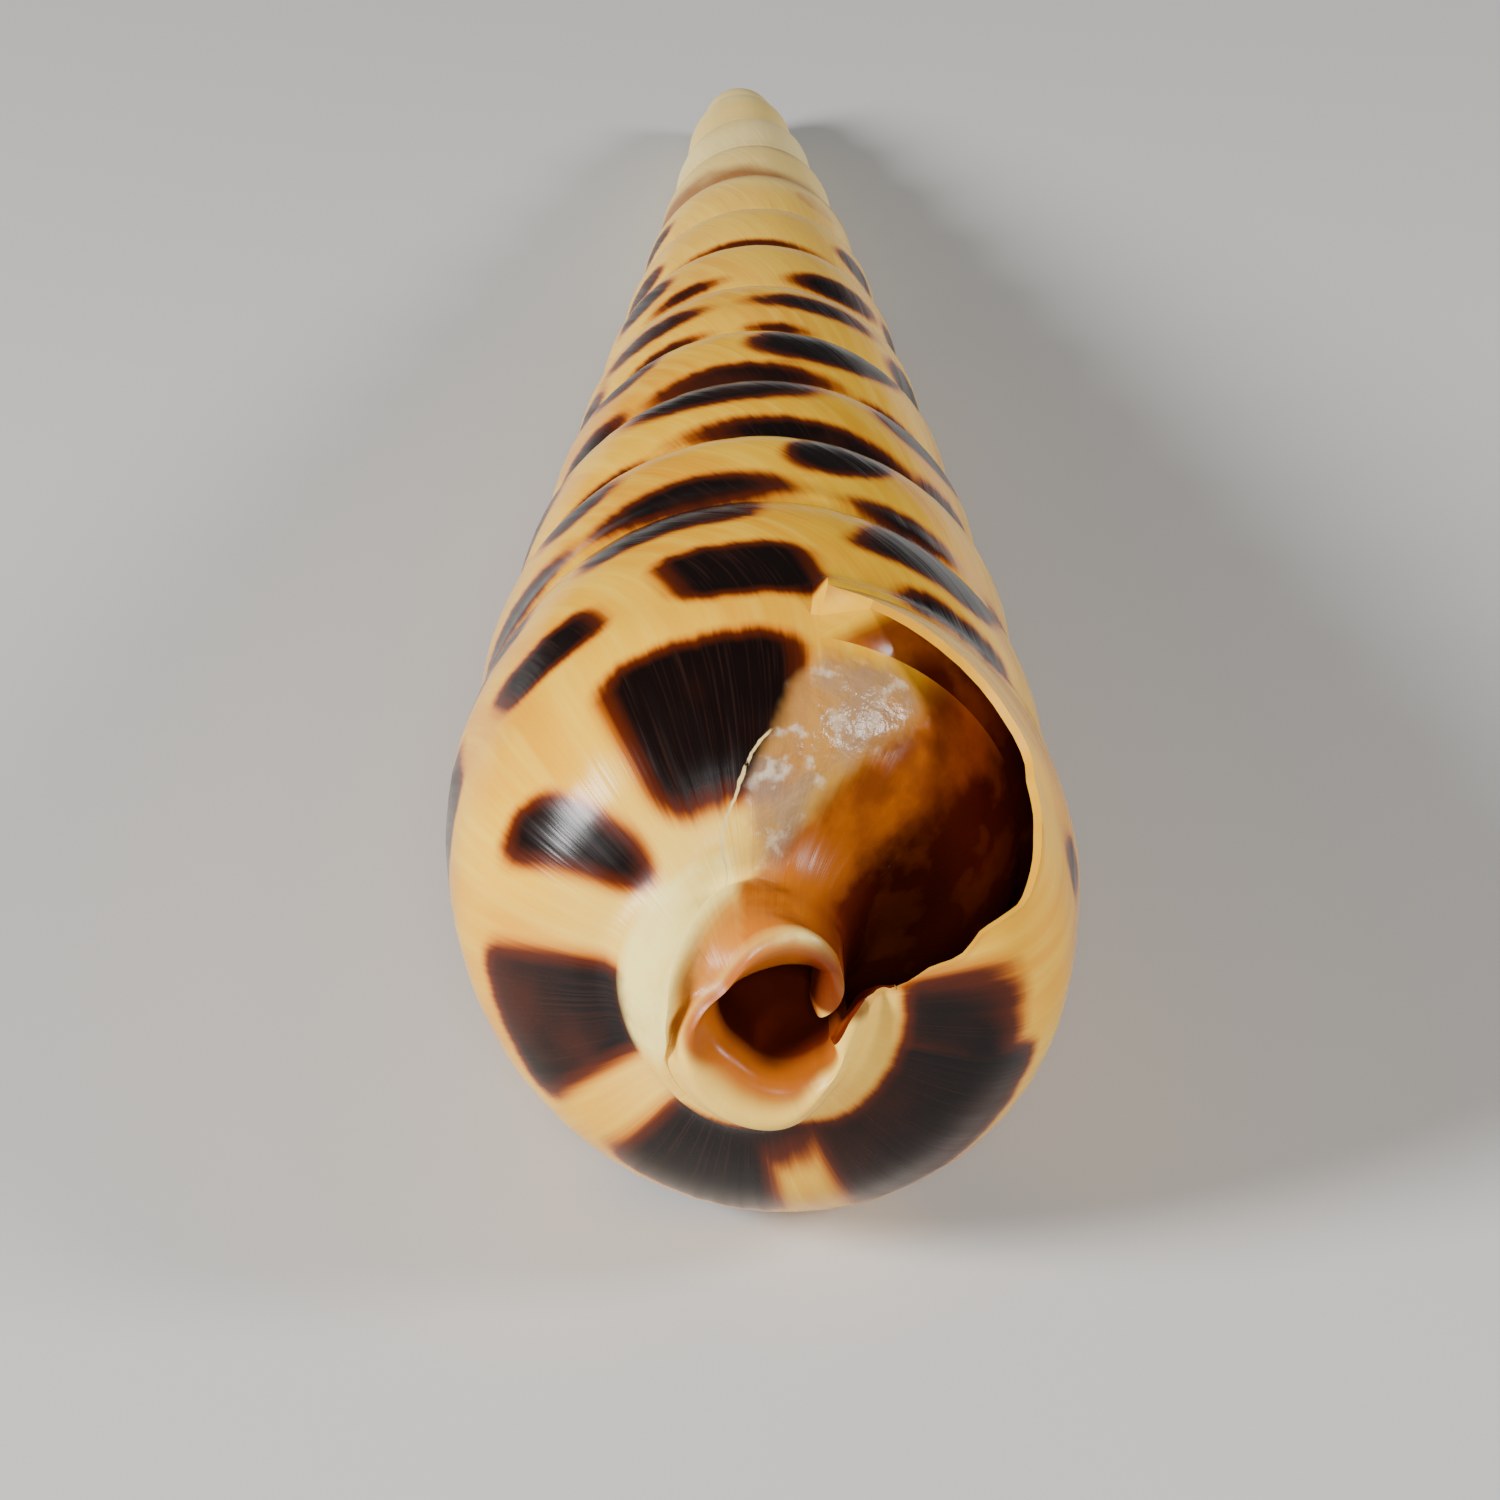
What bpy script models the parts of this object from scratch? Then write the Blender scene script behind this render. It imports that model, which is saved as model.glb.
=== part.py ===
"""Auger shell: a long, slender, right-handed sea-snail shell lying on its side.

The shell is one natural piece.  It is built as a helico-spiral loft: a whorl section is carried round the
axis while it shrinks towards the apex, and each whorl sits on the one before it along the suture.  The
same section, moved inwards by the wall thickness, makes the hollow that winds up inside from the aperture.
The siphonal canal at the front end is then cut out of the columella with tubes.

The spire points along +Y and the aperture faces up and to the front.  The origin is on the resting surface,
under the middle of the bounding box.
"""
import math

import bmesh
import bpy
import numpy as np
from mathutils import Matrix

# ---- driving dimensions -------------------------------------------------------------------------
WIDTH = 0.025                     # widest part of the last whorl, metres; all shares below are of WIDTH
HALF_ANGLE = math.radians(6.3)    # half the apical angle of the spire cone
CONE_TOP = 4.53                   # height on the axis where the cone would come to a point
TIP_HEIGHT = 3.80                 # height of the worn, rounded tip
WALL = 0.036                      # thickness of the whorl wall
LIP_WALL = 0.022                  # thickness of the wall at the lip
TIP_SHIFT = 0.036                 # how far the worn tip has grown to the left of the axis
RIM_HEIGHT = -0.575               # height of the siphonal rim, at the front end of the axis
LAST_HEIGHT = 0.39                # height of the last whorl's side, from its suture down to its base
DIP = math.radians(6.33)          # the axis dips this much towards the apex when the shell lies down
ROLL = math.radians(1.26)         # turn about its own axis at which it lies still, mouth up
REST_FLAT = 0.0002                # metres worn off the underside, so that it lies without rolling

# ---- how finely the surface is laid out ---------------------------------------------------------
STEPS = 28                        # sections in one turn
LIP_TURN = 0.965                  # turn at which the suture meets the lip; turn 0 is the top, growth is up
LEAN_START = 0.30                 # turn from which the sections begin to lean back towards the lip
SUTURE_TURNS = 305 / STEPS        # turns of suture between the worn tip and the lip
HOLLOW_TURNS = 84 / STEPS         # turns of hollow inside the lip


def smooth_step(x):
    """0 below 0, 1 above 1, with an even slope at both ends."""
    x = np.clip(x, 0.0, 1.0)
    return x * x * (3.0 - 2.0 * x)


def hump(x, centre, spread):
    """A bell of height 1 at the centre."""
    return np.exp(-((x - centre) / spread) ** 2)


def suture_height(turn):
    """Height of the suture on the axis; the last whorl drops a little faster than the rest."""
    return 0.374 - 0.385 * turn - 0.0055 * turn ** 2 - 0.06 * np.maximum(turn, 0.0) ** 2


def whorl_height(turn):
    """Height of a whorl between its sutures; past the mouth, where none follows, it eases to its own."""
    if turn < 0.0:
        return suture_height(turn) - suture_height(turn + 1.0)
    first = suture_height(0.0) - suture_height(1.0)
    return LAST_HEIGHT + (first - LAST_HEIGHT) * (1.0 - smooth_step(turn / 0.3))


def cone_radius(height):
    return (CONE_TOP - height) * math.tan(HALF_ANGLE)


def whorl_radius(turn):
    """Radius that the whorl section is scaled by; the last whorl is fuller on its left and underneath."""
    cone = cone_radius(suture_height(turn) - 0.26)
    return 0.978 * cone * (1.0 + 0.045 * hump(turn, 0.52, 0.16) + 0.022 * hump(turn, 0.24, 0.07))


def rim_swell(turn):
    """The siphonal rim stands further out at the columella's end, underneath, and at the lip."""
    return 0.030 * hump(turn, -0.05, 0.10) + 0.040 * hump(turn, 0.52, 0.12) + 0.032 * hump(turn, 0.81, 0.10)


# The whorl section from suture to front end.  The side rows are shares of the whorl's height; the base
# rows are drops below the next suture, as shares of the whorl radius.  Each row also has its radius as a
# share of the whorl radius: on the spire, and on the last whorl, which is rounder.
SIDE_ROWS = ((0.08, 0.982, 0.970), (0.24, 0.998, 0.982), (0.50, 1.019, 0.992), (0.78, 1.044, 0.975),
             (1.00, 1.040, 0.955))
BASE_ROWS = ((0.14, 0.925), (0.27, 0.862), (0.37, 0.790), (0.46, 0.700), (0.55, 0.560), (0.63, 0.420),
             (0.70, 0.305), (0.80, 0.300), (0.97, 0.285), (1.41, 0.270))
NEXT_SUTURE = len(SIDE_ROWS)                     # row where the following whorl sits
LAST_ROW = len(SIDE_ROWS) + len(BASE_ROWS)       # row at the front end
FLOOR_ROW = LAST_ROW - 4                         # row at which the hollow reaches its floor
RIDGE_ROW = LAST_ROW - 2                         # row along the ridge of the fasciole
RIM_STEP = 0.004                                 # rows on the flat of the rim lie this far apart
RIDGE = 0.010                                    # how far that ridge stands out


def soft_floor(height, level, softness=0.03):
    """Keeps a height above a level, with a rounded change where it would pass it."""
    return level + softness * np.logaddexp(0.0, (height - level) / softness)


def section(turn, row):
    """Radius and height of one row of the whorl section at a turn, on the outer surface."""
    radius = whorl_radius(turn)
    top = suture_height(turn)
    at_suture = 0.985 * cone_radius(top)
    if row == 0:
        return at_suture, top
    last = smooth_step((turn + 0.6) / 0.9)
    if row <= len(SIDE_ROWS):
        share, on_spire, on_last = SIDE_ROWS[row - 1]
        drop = share * whorl_height(turn)
        out = radius * (on_spire + (on_last - on_spire) * last)
        pinch = radius * 0.965 - at_suture
        return out - pinch * math.exp(-drop / 0.05), top - drop
    share, out = BASE_ROWS[row - 1 - len(SIDE_ROWS)]
    height = top - whorl_height(turn) - share * radius
    out = radius * out + rim_swell(turn) * smooth_step((row - FLOOR_ROW) / 3.0)
    if row == RIDGE_ROW:
        out += RIDGE * smooth_step((height - RIM_HEIGHT) / 0.08)
    if row > FLOOR_ROW:
        rim = radius * BASE_ROWS[-1][1] + rim_swell(turn) + RIM_STEP * (LAST_ROW - row)
        out = max(out, rim * smooth_step(1.0 - (height - RIM_HEIGHT) / 0.1))
    return out, soft_floor(height, RIM_HEIGHT)


def lip_turn(row):
    """Turn at which the lip edge crosses a row: it leans back from the suture to the siphonal rim."""
    drop = suture_height(0.0) - section(0.0, min(row, FLOOR_ROW))[1]
    return 0.80 + (LIP_TURN - 0.80) * math.exp(-drop / 0.24)


def lean_to_lip(turn, row):
    """Sections near the lip lean back beside its edge."""
    lean = LIP_TURN - lip_turn(row)
    return turn - lean * smooth_step((turn - LEAN_START) / (LIP_TURN - LEAN_START))


def lean_to_mouth(turn, row):
    """The base leans back in the same way where the hollow opens, one turn behind the lip."""
    mouth = LIP_TURN - 1.0
    reach = LIP_TURN - LEAN_START if turn < mouth else LEAN_START - mouth
    forward = smooth_step((row - NEXT_SUTURE - 1) / (FLOOR_ROW - NEXT_SUTURE - 1))
    share = 0.9 * forward * smooth_step(1.0 - abs(turn - mouth) / reach)
    return turn - (LIP_TURN - lip_turn(row)) * share


def place(radius, turn, height):
    """Point at a radius, turn and height: axis along Y, turn 0 up, growth towards -X."""
    angle = 2.0 * math.pi * turn
    shift = TIP_SHIFT * (max(height - 2.2, 0.0) / (TIP_HEIGHT - 2.2)) ** 2
    return np.array((-radius * math.sin(angle) - shift, height, radius * math.cos(angle))) * WIDTH


def outer_point(turn, row):
    covers = row > NEXT_SUTURE and turn < LEAN_START
    turn = lean_to_mouth(turn, row) if covers else lean_to_lip(turn, row)
    radius, height = section(turn, row)
    return place(radius, turn, height)


def inner_section(turn, row):
    """The outer surface moved inwards by the wall, down to the floor of the hollow."""
    level = min(row, FLOOR_ROW)
    before = section(turn, level - 1)
    here = section(turn, level)
    after = section(turn, level + 1)
    along = np.array((after[0] - before[0], after[1] - before[1]))
    inwards = np.array((along[1], -along[0])) / np.linalg.norm(along)
    wall = WALL + (LIP_WALL - WALL) * smooth_step((turn - 0.60) / 0.20)
    radius, height = np.array(here) + wall * inwards
    if row > FLOOR_ROW:
        share = (row - FLOOR_ROW) / (LAST_ROW - FLOOR_ROW)
        radius += (BASE_ROWS[-1][1] * whorl_radius(turn) + rim_swell(turn) - radius) * share
    return radius, height


def inner_point(turn, row):
    turn = lean_to_lip(turn, row)
    radius, height = inner_section(turn, row)
    return place(radius, turn, height)


def column_point(turn, row):
    """The columella inside the hollow: it runs down to the floor of the whorl that covers it."""
    turn = lean_to_mouth(turn, row)
    radius = section(turn, row)[0]
    ridge_height = section(turn, RIDGE_ROW)[1]
    floor = inner_section(turn + 1.0, LAST_ROW)[1]
    share = (row - RIDGE_ROW) / (LAST_ROW - RIDGE_ROW)
    return place(radius, turn, ridge_height + (floor - ridge_height) * share)


def build_shell_mesh():
    """The closed shell with its winding hollow, before the siphonal canal is cut."""
    bm = bmesh.new()
    first = LIP_TURN - SUTURE_TURNS
    columns = round(SUTURE_TURNS * STEPS) + STEPS
    mouth = columns - STEPS                       # the section one turn behind the lip
    deepest = columns - round(HOLLOW_TURNS * STEPS)

    def turn_of(column):
        return first + (column - STEPS) / STEPS

    def vertex(point):
        return bm.verts.new(point)

    # suture line; its first turn is the level ring round the worn tip
    ring_radius, ring_height = section(first, 0)
    suture = [vertex(place(ring_radius, turn_of(c), ring_height)) for c in range(STEPS)]
    suture.append(suture[0])
    suture += [vertex(outer_point(turn_of(c), 0)) for c in range(STEPS + 1, columns + 1)]

    # outer surface, one list of vertices from suture to suture (or to the front end) for each section
    outer = {}
    for c in range(columns + 1):
        if c == 0:
            outer[c] = [suture[0]] * (NEXT_SUTURE + 1)
            continue
        rows = [suture[c]]
        for row in range(1, NEXT_SUTURE):
            if c < STEPS:
                top = np.array(suture[c].co)
                below = np.array(suture[c + STEPS].co)
                rows.append(vertex(top + (below - top) * SIDE_ROWS[row - 1][0]))
            else:
                rows.append(vertex(outer_point(turn_of(c), row)))
        if c <= mouth:
            rows.append(suture[c + STEPS])
        else:
            rows.append(vertex(outer_point(turn_of(c), NEXT_SUTURE)))
        outer[c] = rows

    # base of the whorl: outside on the last turn, and the inner wall of the hollow before that
    for c in range(deepest - STEPS, columns + 1):
        for row in range(NEXT_SUTURE + 1, LAST_ROW + 1):
            covered = c < mouth and row > RIDGE_ROW
            point = column_point(turn_of(c), row) if covered else outer_point(turn_of(c), row)
            outer[c].append(vertex(point))

    # inside of the whorl wall
    inner = {}
    for c in range(deepest, columns + 1):
        inner[c] = [None] + [vertex(inner_point(turn_of(c), row)) for row in range(1, LAST_ROW + 1)]

    def face(*corners):
        kept = []
        for corner in corners:
            if corner not in kept:
                kept.append(corner)
        if len(kept) > 2:
            bm.faces.new(kept)

    for c in range(columns):
        for row in range(NEXT_SUTURE):
            face(outer[c][row], outer[c + 1][row], outer[c + 1][row + 1], outer[c][row + 1])
    for c in range(mouth, columns):
        for row in range(NEXT_SUTURE, LAST_ROW):
            face(outer[c][row], outer[c + 1][row], outer[c + 1][row + 1], outer[c][row + 1])
    for c in range(deepest - STEPS, mouth):
        for row in range(NEXT_SUTURE + 1, LAST_ROW):
            face(outer[c][row], outer[c + 1][row], outer[c + 1][row + 1], outer[c][row + 1])
    for c in range(deepest, columns):
        for row in range(1, LAST_ROW):
            face(inner[c][row], inner[c][row + 1], inner[c + 1][row + 1], inner[c + 1][row])
        behind = outer[c - STEPS]
        behind_next = outer[c + 1 - STEPS]
        face(inner[c][1], inner[c + 1][1], behind_next[NEXT_SUTURE + 1], behind[NEXT_SUTURE + 1])
        face(inner[c][LAST_ROW], behind[LAST_ROW], behind_next[LAST_ROW], inner[c + 1][LAST_ROW])

    # lip edge, from the suture to the front end
    face(outer[columns][0], outer[columns][1], inner[columns][1], outer[mouth][NEXT_SUTURE + 1])
    for row in range(1, LAST_ROW):
        face(outer[columns][row], outer[columns][row + 1], inner[columns][row + 1], inner[columns][row])

    def fan(loop, centre):
        middle = vertex(centre)
        for here, there in zip(loop, loop[1:] + loop[:1]):
            face(here, there, middle)

    # front end, rounded tip, and the blind end of the hollow
    front = [outer[c][LAST_ROW] for c in range(mouth, columns + 1)]
    fan(front, place(0.0, 0.0, RIM_HEIGHT))
    face(front[-1], front[0], inner[columns][LAST_ROW])
    shoulder_height = ring_height + 0.65 * (TIP_HEIGHT - ring_height)
    shoulder = [vertex(place(0.72 * ring_radius, turn_of(c), shoulder_height)) for c in range(STEPS)]
    for c in range(STEPS):
        after = (c + 1) % STEPS
        face(suture[c], shoulder[c], shoulder[after], suture[after])
    fan(shoulder[::-1], place(0.0, 0.0, TIP_HEIGHT))
    blind = inner[deepest][1:] + outer[deepest - STEPS][:NEXT_SUTURE:-1]
    fan(blind, np.mean([np.array(v.co) for v in blind], axis=0))

    bmesh.ops.remove_doubles(bm, verts=bm.verts, dist=1e-7)
    bmesh.ops.recalc_face_normals(bm, faces=bm.faces)
    mesh = bpy.data.meshes.new("shell")
    bm.to_mesh(mesh)
    bm.free()
    return mesh


def tube_mesh(name, stops):
    """A closed tube through stops of (side, height on the axis, up, radius), as shares of WIDTH."""
    curve = bpy.data.curves.new(name, "CURVE")
    curve.dimensions = "3D"
    curve.bevel_depth = WIDTH
    curve.bevel_resolution = 7
    curve.use_fill_caps = True
    spline = curve.splines.new("POLY")
    spline.points.add(len(stops) - 1)
    for point, (side, height, up, radius) in zip(spline.points, stops):
        point.co = (side * WIDTH, height * WIDTH, up * WIDTH, 1.0)
        point.radius = radius
    carrier = bpy.data.objects.new(name, curve)
    bpy.context.scene.collection.objects.link(carrier)
    bpy.context.view_layer.update()
    mesh = bpy.data.meshes.new_from_object(carrier.evaluated_get(bpy.context.evaluated_depsgraph_get()))
    bpy.data.objects.remove(carrier)
    bm = bmesh.new()
    bm.from_mesh(mesh)
    bmesh.ops.remove_doubles(bm, verts=bm.verts, dist=1e-6)
    bmesh.ops.recalc_face_normals(bm, faces=bm.faces)
    bm.to_mesh(mesh)
    bm.free()
    return mesh


def block_mesh(name, size):
    """A block of the given size round its own origin."""
    bm = bmesh.new()
    bmesh.ops.create_cube(bm, size=1.0, matrix=Matrix.Diagonal((*size, 1.0)))
    mesh = bpy.data.meshes.new(name)
    bm.to_mesh(mesh)
    bm.free()
    return mesh


def add_cutter(shell, cutter, cutters):
    """Takes the cutter's shape out of the shell."""
    cutter.hide_render = True
    cutter.display_type = "WIRE"
    cutters.objects.link(cutter)
    cut = shell.modifiers.new(cutter.name, "BOOLEAN")
    cut.operation = "DIFFERENCE"
    cut.solver = "EXACT"
    cut.object = cutter


def make_material():
    """Glossy cream shell; its brown markings are colour only."""
    material = bpy.data.materials.new("glossy shell")
    material.use_nodes = True
    shader = material.node_tree.nodes["Principled BSDF"]
    shader.inputs["Base Color"].default_value = (0.74, 0.52, 0.27, 1.0)
    shader.inputs["Roughness"].default_value = 0.28
    shader.inputs["Metallic"].default_value = 0.0
    return material


def main():
    for thing in list(bpy.data.objects):
        bpy.data.objects.remove(thing)
    parts = bpy.data.collections.new("auger_shell")
    cutters = bpy.data.collections.new("cutters")
    bpy.context.scene.collection.children.link(parts)
    bpy.context.scene.collection.children.link(cutters)

    shell = bpy.data.objects.new("shell", build_shell_mesh())
    shell.data.materials.append(make_material())
    parts.objects.link(shell)

    # siphonal canal: a round hollow in the end of the columella, and the slit from it to the aperture
    canal = ((0.030, -0.75, 0.008, 0.098), (0.030, -0.56, 0.008, 0.096), (0.036, -0.44, 0.010, 0.082),
             (0.040, -0.37, 0.010, 0.055))
    slit = ((0.146, -0.75, 0.028, 0.046), (0.146, -0.56, 0.028, 0.046), (0.160, -0.44, 0.040, 0.036))
    for name, stops in (("canal_cutter", canal), ("slit_cutter", slit)):
        tube = bpy.data.objects.new(name, tube_mesh(name, stops))
        tube.parent = shell
        add_cutter(shell, tube, cutters)

    # lay it down: turned about its axis, dipped towards the apex, its worn underside at height 0
    shell.rotation_mode = "QUATERNION"
    turn = Matrix.Rotation(-DIP, 4, "X") @ Matrix.Rotation(ROLL, 4, "Y")
    points = np.array([(turn @ v.co)[:] for v in shell.data.vertices])
    low = points.min(axis=0)
    high = points.max(axis=0)
    shell.rotation_quaternion = turn.to_quaternion()
    shell.location = (-(low[0] + high[0]) / 2.0, -(low[1] + high[1]) / 2.0, -low[2] - REST_FLAT)
    table = bpy.data.objects.new("table_cutter", block_mesh("table_cutter", (2.0 * WIDTH, 6.0 * WIDTH, WIDTH)))
    table.location = (0.0, 0.0, -WIDTH / 2.0)
    add_cutter(shell, table, cutters)
    shell.data.shade_smooth()
    shell.data.set_sharp_from_angle(angle=math.radians(40.0))


main()
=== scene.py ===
"""Auger shell: a long, slender, right-handed sea-snail shell lying on its side, mouth up."""
import math

import bmesh
import bpy
import numpy as np
from mathutils import Matrix, Vector


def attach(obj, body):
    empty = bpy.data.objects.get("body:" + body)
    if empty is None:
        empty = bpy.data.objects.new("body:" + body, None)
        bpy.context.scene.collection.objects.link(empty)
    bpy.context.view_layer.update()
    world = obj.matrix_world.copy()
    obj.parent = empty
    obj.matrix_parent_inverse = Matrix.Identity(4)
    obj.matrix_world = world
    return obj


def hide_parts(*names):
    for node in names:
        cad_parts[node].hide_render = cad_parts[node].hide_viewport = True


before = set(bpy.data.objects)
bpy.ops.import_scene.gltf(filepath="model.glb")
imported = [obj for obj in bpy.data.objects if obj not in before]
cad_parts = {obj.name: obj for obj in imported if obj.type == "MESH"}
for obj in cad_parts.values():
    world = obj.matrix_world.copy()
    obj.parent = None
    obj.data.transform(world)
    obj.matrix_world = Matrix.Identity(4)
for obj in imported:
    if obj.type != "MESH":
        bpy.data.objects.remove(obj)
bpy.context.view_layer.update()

# ---- the winding shell wall ---------------------------------------------------------------------
# The whole shell is one wall of aragonite, laid down a little at a time along the lip, so it winds round
# its axis as a cone of touching whorls.  It is laid out here as a sheet of growth lines by rows from
# suture to front end, and a node tree further down winds that sheet round the axis.
WIDTH = 0.025                     # widest part of the last whorl, metres; lengths below are shares of it
HALF_ANGLE = math.radians(6.3)    # half the apical angle of the spire cone
CONE_TOP = 4.53                   # height on the axis where the cone would come to a point
WORN_FROM = 2.35                  # height above which the spire is worn a little thinner
WORN_LENGTH = 1.15                # height from there to the worn tip's shoulder
WORN_SHARE = 0.06                 # share of the radius worn away there
SUTURE_START = 0.374              # height of the suture at turn 0, the top of the last whorl
PITCH = 0.385                     # how far the suture comes down in one turn there
PITCH_GROWTH = 0.0055             # how much that grows from turn to turn
LAST_DROP = 0.06                  # how much more steeply the suture comes down towards the lip
LAST_HEIGHT = 0.39                # height of the last whorl's side
LAST_EASE = 0.3                   # turns over which it comes to that height
FULL_DEPTH = 0.26                 # depth below the suture at which a whorl is as wide as the cone
FULLNESS = 0.978                  # a whorl's radius as a share of the cone's
SUTURE_CURVE = 0.05               # depth over which the wall turns in to the suture
NECK_HEIGHT = -0.548              # height of the neck, just behind the siphonal rim
NECK_EASE = 0.03                  # depth over which the base levels out into the neck
LIP_TURN = 0.965                  # turn at which the suture meets the lip
MOUTH_TURN = LIP_TURN - 1.0       # turn at which the mouth opens
LEAN_START = 0.30                 # turn from which the growth lines lean back towards the lip
LEAN = 0.165                      # how far they lean back there at the front end, in turns
LEAN_DEPTH = 0.24                 # drop over which they come to lean so
LINES = 180                       # growth lines laid out in one turn
COLUMNS = 2141                    # growth lines from the worn tip to the lip
MOUTH = COLUMNS - LINES           # the growth line on which the mouth opens

# rows of a whorl's side: drop as a share of its height, then radius as a share of the whorl's own, on the
# spire and on the last whorl; rows of its base: depth below the side, and radius, as shares of its radius
SIDE_ROWS = np.array(((0.0, 0.985, 0.965), (0.08, 1.006, 0.970), (0.24, 1.032, 0.982),
                      (0.50, 1.042, 0.992), (0.78, 1.036, 0.975), (1.00, 1.010, 0.955)))
BASE_ROWS = np.array(((0.14, 0.925), (0.27, 0.862), (0.37, 0.790), (0.46, 0.700), (0.55, 0.560),
                      (0.63, 0.420), (0.70, 0.305)))
ROW_KNOTS = np.array((0.0, 0.035, 0.11, 0.21, 0.32, 0.41, 0.48, 0.55, 0.61, 0.67, 0.75, 0.83, 0.90))
ROW_PARTS = (5, 4, 4, 5, 4, 3, 3, 3, 3, 4, 4, 4)      # fine rows between each two of these rows
NEXT_ROW = 5                                          # row on which the following whorl sits
NECK_ROW = 11                                         # row of the neck
SIDE_END = sum(ROW_PARTS[:NEXT_ROW])                  # the same two as fine rows
FLOOR_END = sum(ROW_PARTS[:NECK_ROW])


def smooth_step(x):
    x = np.clip(x, 0.0, 1.0)
    return x * x * (3.0 - 2.0 * x)


def hump(x, centre, spread):
    return np.exp(-((x - centre) / spread) ** 2)


def suture_height(turn):
    steady = SUTURE_START - PITCH * turn - PITCH_GROWTH * turn ** 2
    return steady - LAST_DROP * np.maximum(turn, 0.0) ** 2


def whorl_height(turn):
    """Height of a whorl's side; on the last whorl, which nothing covers, it eases to its own height."""
    own = suture_height(turn) - suture_height(turn + 1.0)
    first = suture_height(0.0) - suture_height(1.0)
    last = LAST_HEIGHT + (first - LAST_HEIGHT) * (1.0 - smooth_step(turn / LAST_EASE))
    return np.where(turn < 0.0, own, last)


def cone_radius(height):
    worn = 1.0 - WORN_SHARE * (np.maximum(height - WORN_FROM, 0.0) / WORN_LENGTH) ** 1.6
    return (CONE_TOP - height) * math.tan(HALF_ANGLE) * worn


def whorl_radius(turn):
    """Radius of a whorl; the last one swells underneath and, less, on its left side."""
    cone = cone_radius(suture_height(turn) - FULL_DEPTH)
    return FULLNESS * cone * (1.0 + 0.045 * hump(turn, 0.52, 0.16) + 0.022 * hump(turn, 0.24, 0.07))


def ruling_rows(turn):
    """Radius and height of the thirteen rows that rule a whorl, for each turn of a column of turns."""
    radius = whorl_radius(turn)
    top = suture_height(turn)
    deep = whorl_height(turn)
    last = smooth_step((turn + 0.6) / 0.9)            # 0 on the spire, 1 on the last whorl
    bare = smooth_step((top - 2.55) / 0.5)            # 1 near the tip, where the suture is worn away
    drop = SIDE_ROWS[:, 0] * deep
    out = radius * (SIDE_ROWS[:, 1] + (SIDE_ROWS[:, 2] - SIDE_ROWS[:, 1]) * last)
    suture_radius = (0.955 + 0.030 * last + 0.030 * bare) * cone_radius(top)
    side_radius = out - (out[:, :1] - suture_radius) * np.exp(-drop / SUTURE_CURVE)
    base_height = top - deep - BASE_ROWS[:, 0] * radius
    above_neck = NECK_EASE * np.logaddexp(0.0, (base_height - NECK_HEIGHT) / NECK_EASE)
    return (np.hstack((side_radius, radius * BASE_ROWS[:, 1])),
            np.hstack((top - drop, NECK_HEIGHT + above_neck)))


def curve(s, start, leave, end, reach):
    """Runs from start to end as s goes from 0 to 1, leaving and reaching them at the given slopes."""
    return (start * (2 * s ** 3 - 3 * s ** 2 + 1) + leave * (s ** 3 - 2 * s ** 2 + s)
            + end * (3 * s ** 2 - 2 * s ** 3) + reach * (s ** 3 - s ** 2))


def through_rows(ruling, knots, parts):
    """Smooth curves through ruling points along axis 1; parts tells how finely each span is cut."""
    slope = np.gradient(ruling, knots, axis=1)
    pieces = []
    for span, count in enumerate(parts):
        s = np.linspace(0.0, 1.0, count, endpoint=False)[None, :, None]
        width = knots[span + 1] - knots[span]
        here, there = slice(span, span + 1), slice(span + 1, span + 2)
        pieces.append(curve(s, ruling[:, here], slope[:, here] * width,
                            ruling[:, there], slope[:, there] * width))
    return np.concatenate(pieces + [ruling[:, -1:]], axis=1)


def wind(radius, turn, height):
    """Point in shares of WIDTH: axis along Y, turn 0 up, growth towards -X."""
    angle = 2.0 * math.pi * turn
    return np.stack((-radius * np.sin(angle), height + 0.0 * radius, radius * np.cos(angle)), axis=-1)


# how far each row leans back, in turns; near the lip its base leans back a little more
level_drop = (suture_height(0.0) - ruling_rows(np.zeros((1, 1)))[1])[0]
LEANS = LEAN * (1.0 - np.exp(-np.minimum(level_drop, level_drop[NECK_ROW]) / LEAN_DEPTH))
LIP_LEANS = LEANS + (0, 0, 0, 0, 0, 0, 0.000, 0.001, 0.003, 0.007, 0.016, 0.030, 0.034)


def lean_to_lip(turn):
    """Turn at which each row meets a growth line near the lip."""
    return turn - LIP_LEANS * smooth_step((turn - LEAN_START) / (LIP_TURN - LEAN_START))


def lean_to_mouth(turn):
    """The same for the base, which leans back where the hollow opens."""
    reach = np.where(turn < MOUTH_TURN, LIP_TURN - LEAN_START, LEAN_START - MOUTH_TURN)
    forward = smooth_step((np.arange(len(LEANS)) - NEXT_ROW - 1) / 5.0)
    return turn - LEANS * 0.9 * forward * smooth_step(1.0 - np.abs(turn - MOUTH_TURN) / reach)


def lay_out(turns, lean):
    """Ruling points of the growth lines at these turns, each row where it meets its own leaned turn."""
    leaned = lean(turns[:, None])
    radius = np.empty_like(leaned)
    height = np.empty_like(leaned)
    for row in range(leaned.shape[1]):
        row_radius, row_height = ruling_rows(leaned[:, row:row + 1])
        radius[:, row] = row_radius[:, row]
        height[:, row] = row_height[:, row]
    return wind(radius, leaned, height)


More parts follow.
